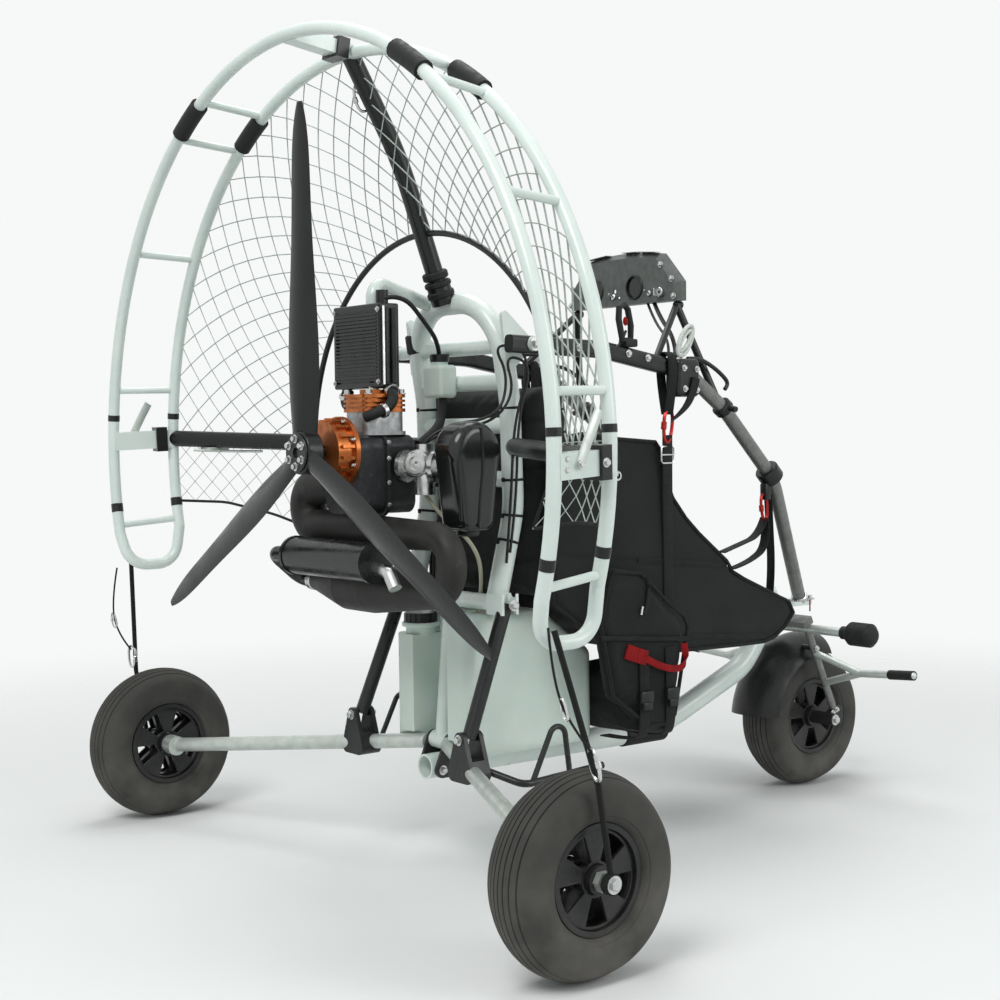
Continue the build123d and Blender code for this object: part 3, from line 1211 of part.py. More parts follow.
# Seat: back, base, hung sides and the reserve bag on the right
seat_inner = SEAT_HALF_WIDTH - SEAT_SKIN - SEAT
seat_nose_x = HEAD_X - SEAT_NOSE_SETBACK
back_x = FRAME_BELLY_X + FRAME_DIAMETER / 2 - SEAT_REST
back_low = TANK_TOP_Z + SEAT_BACK_LIFT
back_front = back_x + SEAT_BACK_THICKNESS
seat_back = block((back_x, -seat_inner, back_low), (back_front, seat_inner, SEAT_BACK_TOP_Z))
pieces["seat_back"] = fillet(seat_back.edges(), SEAT_BACK_ROUND)
half_base = SEAT_BASE_THICKNESS / 2
base_outline = [
    (back_front + SEAT, back_low + SEAT_BASE_THICKNESS),
    (SEAT_BASE_X, SEAT_BASE_Z + half_base),
    (seat_nose_x, SEAT_NOSE_Z + half_base),
    (seat_nose_x, SEAT_NOSE_Z - half_base),
    (SEAT_BASE_X, SEAT_BASE_Z - half_base),
    (back_front + SEAT, back_low),
]
pieces["seat_base"] = side_plate(base_outline, -seat_inner, seat_inner)
hip_x = SEAT_BASE_X + SEAT_BASE_THICKNESS * 0.6
side_rear_x = back_x + SEAT_SKIN * 2
side_low = SEAT_BASE_Z - SEAT_BASE_THICKNESS * 0.8
SIDE_OUTLINE = [
    # x, z
    (side_rear_x, back_low),
    (side_rear_x, SEAT_BACK_TOP_Z - SIDE_DROP),
    (back_front + SEAT_BASE_THICKNESS / 2, SEAT_BACK_TOP_Z - SIDE_DROP + SEAT_SKIN),
    (hip_x, SEAT_BACK_TOP_Z - SIDE_DROP - SEAT_SKIN),
    (hip_x + SEAT_SKIN, SEAT_BACK_TOP_Z - SIDE_WAIST),
    (between((hip_x, 0), (seat_nose_x, 0), 0.37)[0], SEAT_NOSE_Z + SIDE_THIGH),
    (between((hip_x, 0), (seat_nose_x, 0), 0.53)[0], SEAT_NOSE_Z + SIDE_KNEE),
    (seat_nose_x - SEAT_SKIN, SEAT_NOSE_Z + half_base),
    (seat_nose_x, SEAT_NOSE_Z - SEAT_SKIN),
    (seat_nose_x - SEAT_BASE_THICKNESS, side_low),
    (back_front + SEAT_BASE_THICKNESS * 2, side_low + SEAT_SKIN),
]
seat_side = side_plate(SIDE_OUTLINE, SEAT_HALF_WIDTH - SEAT_SKIN, SEAT_HALF_WIDTH)
pieces["seat_sides"] = Compound(children=both_sides(seat_side))
bag = block((BAG_REAR_X, -BAG_OUTER_Y, BAG_LOW_Z), (BAG_FRONT_X, -BAG_INNER_Y, side_low - SEAT))
pouch = rounded_plate(BAG_FLAP, -BAG_OUTER_Y, -SEAT_HALF_WIDTH - SEAT)
pouch = fillet(pouch.faces().sort_by(Axis.Y)[0].edges(), BAG_ROUND / 2)
bag = joined([fillet(bag.edges(), BAG_ROUND), pouch])
pieces["reserve_bag"] = without(bag, [keel(SEAT), pieces["seat_base"], pieces["seat_sides"]])


# Fork: steerer, crown and two straight legs that end in axle plates
leg_start = along_head(CROWN_DROP)
leg_end = along_head(CROWN_DROP + FORK_LEG)


def fork_plate(y):
    """Rounded plate from the wheel spindle forward to the foot of one leg."""
    corners = [
        # x, z, corner radius
        (WHEELBASE, AXLE_Z, FORK_PLATE_CORNER),
        (leg_end[0] + FORK_LEG_DIAMETER / 2, AXLE_Z, FORK_PLATE_CORNER),
        (leg_end[0] + FORK_LEG_DIAMETER / 2, leg_end[2], FORK_PLATE_CORNER),
    ]
    return rounded_plate(corners, y - FORK_PLATE / 2, y + FORK_PLATE / 2)


def fork_frame():
    steerer = rod(along_head(CROWN_DROP), along_head(-HEAD_TUBE + ROOM), STEERER_DIAMETER)
    crown_plane = Plane(origin=along_head(CROWN_DROP), x_dir=(0, 1, 0), z_dir=HEAD_TILT)
    width = 2 * FORK_HALF_WIDTH + FORK_LEG_DIAMETER + 2 * ROOM
    crown_face = RectangleRounded(width, CROWN_DEPTH, FORK_LEG_DIAMETER / 2)
    crown = crown_plane * Pos(0, 0, -CROWN_THICKNESS / 2) * extrude(crown_face, amount=CROWN_THICKNESS)
    legs = []
    for y in (FORK_HALF_WIDTH, -FORK_HALF_WIDTH):
        legs.append(rod((leg_start[0], y, leg_start[2]), (leg_end[0], y, leg_end[2]), FORK_LEG_DIAMETER))
    plates = [fork_plate(FORK_HALF_WIDTH), fork_plate(-FORK_HALF_WIDTH)]
    return without(joined([steerer, crown, *legs]), plates)


pieces["fork_frame"] = fork_frame()
plate_outer = FORK_HALF_WIDTH + FORK_PLATE / 2
spindle_half = plate_outer + SPINDLE_NUT
spindle_line = [(WHEELBASE, -spindle_half, AXLE_Z), (WHEELBASE, spindle_half, AXLE_Z)]
axle_parts = [rod(*spindle_line, FRONT_SPINDLE_DIAMETER)]
for y in (FORK_HALF_WIDTH, -FORK_HALF_WIDTH):
    axle_parts.append(fork_plate(y))
spacer_line = [(WHEELBASE, HUB_LENGTH / 2 + END_PLAY, AXLE_Z), (WHEELBASE, FORK_HALF_WIDTH, AXLE_Z)]
nut_line = [(WHEELBASE, FORK_HALF_WIDTH, AXLE_Z), (WHEELBASE, spindle_half, AXLE_Z)]
axle_parts += both_sides(rod(*spacer_line, FRONT_SPACER_DIAMETER))
axle_parts += both_sides(rod(*nut_line, SPINDLE_NUT_RADIUS * 1.7))
pieces["fork_axle"] = joined(axle_parts)


# Foot pegs, foot bars and mudguard turn with the fork
peg_x, _, peg_z = along_head(CROWN_DROP + CROWN_THICKNESS / 2 + PEG_DIAMETER / 2 + SEAT)
peg_bar = rod((peg_x, -PEG_BAR, peg_z), (peg_x, PEG_BAR, peg_z), PEG_DIAMETER)
leg_rooms = []
for y in (FORK_HALF_WIDTH, -FORK_HALF_WIDTH):
    leg_line = [(leg_start[0], y, leg_start[2]), (leg_end[0], y, leg_end[2])]
    leg_rooms.append(rod(*leg_line, FORK_LEG_DIAMETER + 2 * SEAT))
pieces["peg_bar"] = without(peg_bar, leg_rooms)
grip = rod((peg_x, PEG_BAR + PEG_NECK / 2, peg_z), (peg_x, PEG_BAR + PEG_GRIP, peg_z), PEG_GRIP_DIAMETER)
grip = fillet(grip.edges().filter_by(GeomType.CIRCLE), PEG_GRIP_ROUND)
grip = joined([grip, rod((peg_x, PEG_BAR, peg_z), (peg_x, PEG_BAR + PEG_NECK, peg_z), PEG_NECK_DIAMETER)])
pieces["peg_grips"] = Compound(children=both_sides(grip))


def foot_bar():
    upper = along_head(FOOT_BAR_UPPER)
    lower = along_head(FOOT_BAR_LOWER)
    middle = between(upper, lower, 0.5)
    knot = (middle[0], FORK_HALF_WIDTH + FOOT_BAR_KNOT, middle[2])
    end = (middle[0] - FOOT_BAR_RISE, FORK_HALF_WIDTH + FOOT_BAR_REACH, middle[2] + FOOT_BAR_RISE)
    bars = [
        rod((upper[0], FORK_HALF_WIDTH, upper[2]), knot, FOOT_BAR_DIAMETER),
        rod((lower[0], FORK_HALF_WIDTH, lower[2]), knot, FOOT_BAR_DIAMETER),
        rod(knot, end, FOOT_BAR_DIAMETER),
        ball(knot, FOOT_BAR_DIAMETER),
        ball(end, FOOT_BAR_DIAMETER),
    ]
    return without(joined(bars), leg_rooms)


foot_bars = [bar.solids().sort_by(SortBy.VOLUME)[-1] for bar in both_sides(foot_bar())]
pieces["foot_bars"] = Compound(children=foot_bars)


def mudguard():
    half = MUDGUARD_WIDTH / 2
    outer = MUDGUARD_RADIUS + MUDGUARD_WALL
    edge = TYRE_RADIUS - MUDGUARD_EDGE_DROP
    section = make_face(
        [
            ThreePointArc((edge, half), (outer, 0), (edge, -half)),
            Line((edge, -half), (edge, -half + MUDGUARD_WALL)),
            ThreePointArc((edge, -half + MUDGUARD_WALL), (MUDGUARD_RADIUS, 0), (edge, half - MUDGUARD_WALL)),
            Line((edge, half - MUDGUARD_WALL), (edge, half)),
        ]
    )
    shell = revolve(section, axis=Axis.Y, revolution_arc=MUDGUARD_ARC)
    shell = Pos(WHEELBASE, 0, AXLE_Z) * Rot(0, 180 + MUDGUARD_START, 0) * shell
    tab_x, _, tab_z = along_head(MUDGUARD_TAB)
    tab = rod((tab_x, TYRE_WIDTH / 2, tab_z), (tab_x, FORK_HALF_WIDTH, tab_z), MUDGUARD_TAB_DIAMETER)
    whole = joined([shell, *both_sides(tab)])
    return without(whole, [*leg_rooms, pieces["peg_bar"]])


pieces["mudguard"] = mudguard()


# Cage stays: webbing straps from the hoop feet round the tyres to the spindle studs
def cage_stay(side):
    foot = rear_point(-FOOT_ANGLE) if side > 0 else rear_point(180 + FOOT_ANGLE)
    stud_y = side * (WHEEL_Y + HUB_LENGTH / 2 + END_PLAY + SPINDLE_NUT + SPINDLE_STUD_DIAMETER / 2)
    eye_end = stud_y + side * STRAP_EYE
    knee_y = side * (WHEEL_Y + TYRE_WIDTH / 2 + 1.4 * STRAP)
    knee = (-2 * SPINDLE_STUD_DIAMETER, knee_y, TYRE_DIAMETER - STRAP)
    start = (foot[0] + HOOP_DIAMETER, foot[1], foot[2] - FOOT_DROP + HOOP_DIAMETER)
    strap = joined(
        [
            rod(start, knee, STRAP),
            ball(knee, STRAP),
            rod(knee, (0, stud_y + side * STRAP_EYE / 2, AXLE_Z + STRAP), STRAP),
            rod((0, stud_y, AXLE_Z), (0, eye_end, AXLE_Z), STRAP_EYE_DIAMETER),
        ]
    )
    stud_line = [(0, stud_y - side * ROOM, AXLE_Z), (0, eye_end + side * ROOM, AXLE_Z)]
    stud = rod(*stud_line, SPINDLE_STUD_DIAMETER + 2 * SEAT)
    strap = without(strap, [stud, pieces["cage_rungs"]])
    return strap.solids().sort_by(SortBy.VOLUME)[-1]


pieces["cage_stays"] = Compound(children=[cage_stay(1), cage_stay(-1)])


os.makedirs("parts", exist_ok=True)
to_mid_wheelbase = Pos(-WHEELBASE / 2, 0, 0)
for node, shape in pieces.items():
    export_step(to_mid_wheelbase * shape, f"parts/{node}.step")
    print(node, len(shape.solids()), round(sum(solid.volume for solid in shape.solids())))
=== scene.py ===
import json
from math import atan2, copysign, cos, degrees, hypot, pi, radians, sin

import bmesh
import bpy
import numpy as np
from mathutils import Matrix, Vector


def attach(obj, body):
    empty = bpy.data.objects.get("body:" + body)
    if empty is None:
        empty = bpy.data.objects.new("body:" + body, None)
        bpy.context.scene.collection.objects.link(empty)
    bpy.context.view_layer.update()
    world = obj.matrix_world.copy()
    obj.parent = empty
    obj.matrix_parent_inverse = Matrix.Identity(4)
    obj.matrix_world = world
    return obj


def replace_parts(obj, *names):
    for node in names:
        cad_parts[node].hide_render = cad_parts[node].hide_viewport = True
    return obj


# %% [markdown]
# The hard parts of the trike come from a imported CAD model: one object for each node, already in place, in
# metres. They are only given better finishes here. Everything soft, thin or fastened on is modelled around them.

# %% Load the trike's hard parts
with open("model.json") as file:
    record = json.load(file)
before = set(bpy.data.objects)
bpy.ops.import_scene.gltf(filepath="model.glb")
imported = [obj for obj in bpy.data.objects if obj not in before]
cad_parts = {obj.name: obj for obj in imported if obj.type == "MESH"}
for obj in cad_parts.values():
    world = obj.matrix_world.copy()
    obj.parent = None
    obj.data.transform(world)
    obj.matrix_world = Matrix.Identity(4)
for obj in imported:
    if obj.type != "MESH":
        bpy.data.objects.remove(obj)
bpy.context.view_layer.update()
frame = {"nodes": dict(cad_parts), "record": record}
nodes = frame["nodes"]

# %% [markdown]
# Sizes of the trike are counted in millimetres from the floor point under the rear axle. The scene's origin
# is half a wheelbase further forward, so one short function turns such sizes into scene places. Most fittings
# come in pairs, so a list of points can also be asked for on the right side.

# %% Drawing sizes to scene places
WHEELBASE = 1321.0
HUB_Z, SHAFT_Z = 165, 819
SIDES = (1, -1)  # left and right


def spot(x, y, z):
    """Place in metres of a point given in millimetres from under the rear axle."""
    return Vector(((x - WHEELBASE / 2) / 1000, y / 1000, z / 1000))


def spots(*points, side=1):
    return [spot(x, y * side, z) for x, y, z in points]


print("rear axle line at", tuple(round(c, 4) for c in spot(0, 0, HUB_Z)))

# %% [markdown]
# The camera stands behind the trike on its right, a little above the seat. Its place and lens were worked out
# from the two round hoops and the three wheels, which show their ellipses clearly. A camera looks down its own
# -Z axis, so its matrix is built from the right, up and backward directions, with a small roll.

# %% Camera
CAMERA_PLACE = Vector((-2.29045, -2.62018, 0.85931))
YAW, PITCH, ROLL = radians(37.96), radians(-2.516), radians(-0.706)
forward = Vector((sin(YAW) * cos(PITCH), cos(YAW) * cos(PITCH), sin(PITCH)))
level_right = forward.cross(Vector((0, 0, 1))).normalized()
level_up = level_right.cross(forward)
right = cos(ROLL) * level_right + sin(ROLL) * level_up
up = -sin(ROLL) * level_right + cos(ROLL) * level_up
camera_data = bpy.data.cameras.new("camera")
camera_data.sensor_width = 36.0
camera_data.lens = 58.467
camera = bpy.data.objects.new("camera", camera_data)
bpy.context.scene.collection.objects.link(camera)
camera.matrix_world = Matrix.Translation(CAMERA_PLACE) @ Matrix((right, up, -forward)).transposed().to_4x4()
bpy.context.scene.camera = camera
print("camera looks along", tuple(round(c, 3) for c in forward))

# %% [markdown]
# Light, floor and finishes are all made of shader nodes. Four helpers add a node, join sockets, stretch a range
# of values and do sums, so that the cells below show what is mixed and not how every wire runs.

# %% Helpers for shader nodes


def added(tree, kind, **values):
    """New shader node with some inputs set, a space in their names given as _."""
    node = tree.nodes.new("ShaderNode" + kind)
    for label, value in values.items():
        node.inputs[label.replace("_", " ")].default_value = value
    return node


def linked(tree, *pairs):
    """Join pairs of sockets, each an output and an input."""
    for source, goal in pairs:
        tree.links.new(source, goal)


def spread(tree, value, low, high, first=0.0, last=1.0):
    """Map Range node from low..high to first..last."""
    node = added(tree, "MapRange", From_Min=low, From_Max=high, To_Min=first, To_Max=last)
    tree.links.new(value, node.inputs["Value"])
    return node.outputs["Result"]


def combined(tree, operation, first, second):
    """Math node of two sockets, or of a socket and a number."""
    node = added(tree, "Math")
    node.operation = operation
    for goal, value in zip(node.inputs, (first, second)):
        if isinstance(value, (int, float)):
            goal.default_value = value
        else:
            tree.links.new(value, goal)
    return node.outputs[0]


print("shader helpers: added, linked, spread, combined")

# %% [markdown]
# A studio picture of a machine needs broad, soft light, or every tube gets a hard black shadow. Three large area
# lamps do the work: one high on the left of the camera, a lower fill on its right and one overhead. The world
# adds a plain grey light. Seen by the camera, by reflections and through glass it is white, so the background
# stays pale without putting more light on the trike. The floor fades out with distance, so no horizon shows.

# %% Light and floor
scene = bpy.context.scene
scene.view_settings.view_transform = "Standard"
world = bpy.data.worlds.new("studio")
scene.world = world
world.use_nodes = True
tree = world.node_tree
tree.nodes.clear()
seen = added(tree, "LightPath")
either = combined(tree, "MAXIMUM", seen.outputs["Is Camera Ray"], seen.outputs["Is Glossy Ray"])
any_seen = combined(tree, "MAXIMUM", either, seen.outputs["Is Transmission Ray"])
ambient = added(tree, "Background", Color=(0.95, 1.0, 0.98, 1), Strength=0.42)
backdrop = added(tree, "Background", Color=(0.93, 0.94, 0.94, 1), Strength=1.0)
choose = added(tree, "MixShader")
linked(tree,
       (any_seen, choose.inputs["Fac"]),
       (ambient.outputs[0], choose.inputs[1]),
       (backdrop.outputs[0], choose.inputs[2]),
       (choose.outputs[0], added(tree, "OutputWorld").inputs["Surface"]))

LAMPS = [
    # name, place, size, watts
    ("key_lamp", (-3.4, -1.6, 4.2), 2.6, 120.0),
    ("fill_lamp", (1.6, -4.2, 2.4), 2.4, 60.0),
    ("top_lamp", (0.4, 1.2, 4.6), 3.0, 70.0),
]
LAMP_AIM = Vector((0.0, 0.0, 0.6))
for name, place, size, watts in LAMPS:
    lamp = bpy.data.lights.new(name, "AREA")
    lamp.shape = "DISK"
    lamp.size = size
    lamp.energy = watts
    holder = bpy.data.objects.new(name, lamp)
    scene.collection.objects.link(holder)
    holder.location = place
    holder.rotation_euler = (LAMP_AIM - Vector(place)).to_track_quat("-Z", "Y").to_euler()

floor_mesh = bpy.data.meshes.new("floor")
bm = bmesh.new()
bmesh.ops.create_grid(bm, x_segments=1, y_segments=1, size=25.0)
bm.to_mesh(floor_mesh)
bm.free()
floor = bpy.data.objects.new("floor", floor_mesh)
scene.collection.objects.link(floor)
floor_finish = bpy.data.materials.new("pale_floor")
floor_finish.use_nodes = True
tree = floor_finish.node_tree
shader = tree.nodes["Principled BSDF"]
shader.inputs["Base Color"].default_value = (0.84, 0.85, 0.85, 1)
shader.inputs["Roughness"].default_value = 0.9
shader.inputs["Specular IOR Level"].default_value = 0.1
from_middle = added(tree, "VectorMath")
from_middle.operation = "LENGTH"
fade = added(tree, "MapRange", From_Min=0.9, From_Max=3.6)
fade.interpolation_type = "SMOOTHSTEP"
floor_mix = added(tree, "MixShader")
linked(tree,
       (added(tree, "TexCoord").outputs["Object"], from_middle.inputs[0]),
       (from_middle.outputs["Value"], fade.inputs["Value"]),
       (fade.outputs["Result"], floor_mix.inputs["Fac"]),
       (shader.outputs["BSDF"], floor_mix.inputs[1]),
       (added(tree, "BsdfTransparent").outputs["BSDF"], floor_mix.inputs[2]),
       (floor_mix.outputs["Shader"], tree.nodes["Material Output"].inputs["Surface"]))
floor_mesh.materials.append(floor_finish)
print("lamps:", len(LAMPS))

# %% [markdown]
# Real surfaces are never one flat colour. Four effects come back on many of them: a cloudy mottle, fine
# scratches, a woven thread pattern and pale dust near the ground. Each is built once as a node group with
# named inputs. Patterns read Object coordinates, so they stay on the piece when it moves.

# %% Shared surface effects


def effect(name, inputs, outputs):
    """Empty node group with value inputs and value outputs."""
    group = bpy.data.node_groups.new(name, "ShaderNodeTree")
    for label, value in inputs:
        group.interface.new_socket(label, in_out="INPUT", socket_type="NodeSocketFloat").default_value = value
    for label in outputs:
        group.interface.new_socket(label, in_out="OUTPUT", socket_type="NodeSocketFloat")
    start = group.nodes.new("NodeGroupInput")
    end = group.nodes.new("NodeGroupOutput")
    place = group.nodes.new("ShaderNodeTexCoord")
    return group, start, end, place.outputs["Object"]


mottle, start, end, place = effect("Mottle", [("Scale", 20.0)], ["Mask", "Height"])
cloud = added(mottle, "TexNoise", Detail=5.0)
linked(mottle,
       (place, cloud.inputs["Vector"]),
       (start.outputs["Scale"], cloud.inputs["Scale"]),
       (spread(mottle, cloud.outputs["Fac"], 0.35, 0.68), end.inputs["Mask"]),
       (cloud.outputs["Fac"], end.inputs["Height"]))

scratches, start, end, place = effect("Scratches", [("Scale", 30.0), ("Amount", 0.5)], ["Mask"])
streak = added(scratches, "Mapping", Scale=(1.0, 7.0, 0.6), Rotation=(0.5, 0.3, 0.7))
noise = added(scratches, "TexNoise", Detail=8.0, Roughness=0.7)
sparse = spread(scratches, noise.outputs["Fac"], 0.60, 0.74)
linked(scratches,
       (place, streak.inputs["Vector"]),
       (streak.outputs["Vector"], noise.inputs["Vector"]),
       (start.outputs["Scale"], noise.inputs["Scale"]),
       (combined(scratches, "MULTIPLY", sparse, start.outputs["Amount"]), end.inputs["Mask"]))

weave, start, end, place = effect("Weave", [("Scale", 300.0)], ["Height", "Mask"])
threads = []
for axis in "XYZ":
    band = added(weave, "TexWave", Distortion=0.4, Detail=1.0)
    band.bands_direction = axis
    linked(weave, (place, band.inputs["Vector"]), (start.outputs["Scale"], band.inputs["Scale"]))
    threads.append(band.outputs["Fac"])
crossed = combined(weave, "ADD", combined(weave, "ADD", threads[0], threads[1]), threads[2])
linked(weave,
       (combined(weave, "MULTIPLY", crossed, 0.333), end.inputs["Height"]),
       (spread(weave, crossed, 0.9, 2.3), end.inputs["Mask"]))

dust, start, end, place = effect("Dust", [("Top", 0.3), ("Amount", 0.5)], ["Mask"])
apart = added(dust, "SeparateXYZ")
low_down = added(dust, "MapRange", To_Min=1.0, To_Max=0.0)
patches = added(dust, "TexNoise", Scale=14.0, Detail=6.0)
linked(dust,
       (place, apart.inputs["Vector"]),
       (apart.outputs["Z"], low_down.inputs["Value"]),
       (start.outputs["Top"], low_down.inputs["From Max"]),
       (place, patches.inputs["Vector"]))
patchy = combined(dust, "MULTIPLY", spread(dust, patches.outputs["Fac"], 0.3, 0.7), low_down.outputs["Result"])
linked(dust, (combined(dust, "MULTIPLY", patchy, start.outputs["Amount"]), end.inputs["Mask"]))
print("effects:", [group.name for group in (mottle, scratches, weave, dust)])

# %% [markdown]
# Every finish on the trike is one Principled shader whose colour wanders between two close shades, whose
# roughness follows the same mottle, and which may carry scratches, weave and dust. A table of values then says
# what each paint, metal, plastic, rubber and cloth is like. What is the same all over is set on the shader.
# Hard parts take the finish of their slot, apart from four parts of the engine with a look of their own.

# %% Finishes
DUST_COLOUR = (0.42, 0.40, 0.36, 1)


def finish(name, shade, other, rough, grain=18.0, bump=0.0, scuff=0.0, scuff_shade=(0.5, 0.5, 0.5),
           thread=0.0, thread_bump=0.0, dusty=0.0, **fixed):
    """Material with two mottled shades, a roughness range and the shared effects."""
    material = bpy.data.materials.new(name + "_finish")
    material.use_nodes = True
    tree = material.node_tree
    shader = tree.nodes["Principled BSDF"]

    def placed(group, **values):
        node = added(tree, "Group")
        node.node_tree = group
        for label, value in values.items():
            node.inputs[label].default_value = value
        return node

    def mixed(mask, first, second):
        node = added(tree, "Mix")
        node.data_type = "RGBA"
        tree.links.new(mask, node.inputs["Factor"])
        for socket, value in ((node.inputs["A"], first), (node.inputs["B"], second)):
            if isinstance(value, tuple):
                socket.default_value = (*value[:3], 1)
            else:
                tree.links.new(value, socket)
        return node.outputs["Result"]

    clouds = placed(mottle, Scale=grain)
    colour = mixed(clouds.outputs["Mask"], shade, other)
    roughness = spread(tree, clouds.outputs["Mask"], 0.0, 1.0, rough[0], rough[1])
    if scuff:
        scuffs = placed(scratches, Amount=scuff)
        colour = mixed(scuffs.outputs["Mask"], colour, scuff_shade)
    if thread:
        cloth = placed(weave, Scale=thread)
        dark = tuple(0.55 * value for value in shade)
        colour = mixed(cloth.outputs["Mask"], dark, colour)
    if dusty:
        dirt = placed(dust, Amount=dusty)
        colour = mixed(dirt.outputs["Mask"], colour, DUST_COLOUR)
        roughness = combined(tree, "MAXIMUM", roughness, combined(tree, "MULTIPLY", dirt.outputs["Mask"], 0.9))
    linked(tree, (colour, shader.inputs["Base Color"]), (roughness, shader.inputs["Roughness"]))
    height = None
    if bump:
        height = combined(tree, "MULTIPLY", clouds.outputs["Height"], bump)
    if thread_bump:
        lifted = combined(tree, "MULTIPLY", cloth.outputs["Height"], thread_bump)
        height = lifted if height is None else combined(tree, "ADD", height, lifted)
    if height is not None:
        relief = added(tree, "Bump", Distance=0.001)
        linked(tree, (height, relief.inputs["Height"]), (relief.outputs["Normal"], shader.inputs["Normal"]))
    for label, value in fixed.items():
        shader.inputs[label.replace("_", " ").title().replace("Ior", "IOR")].default_value = value
    return material


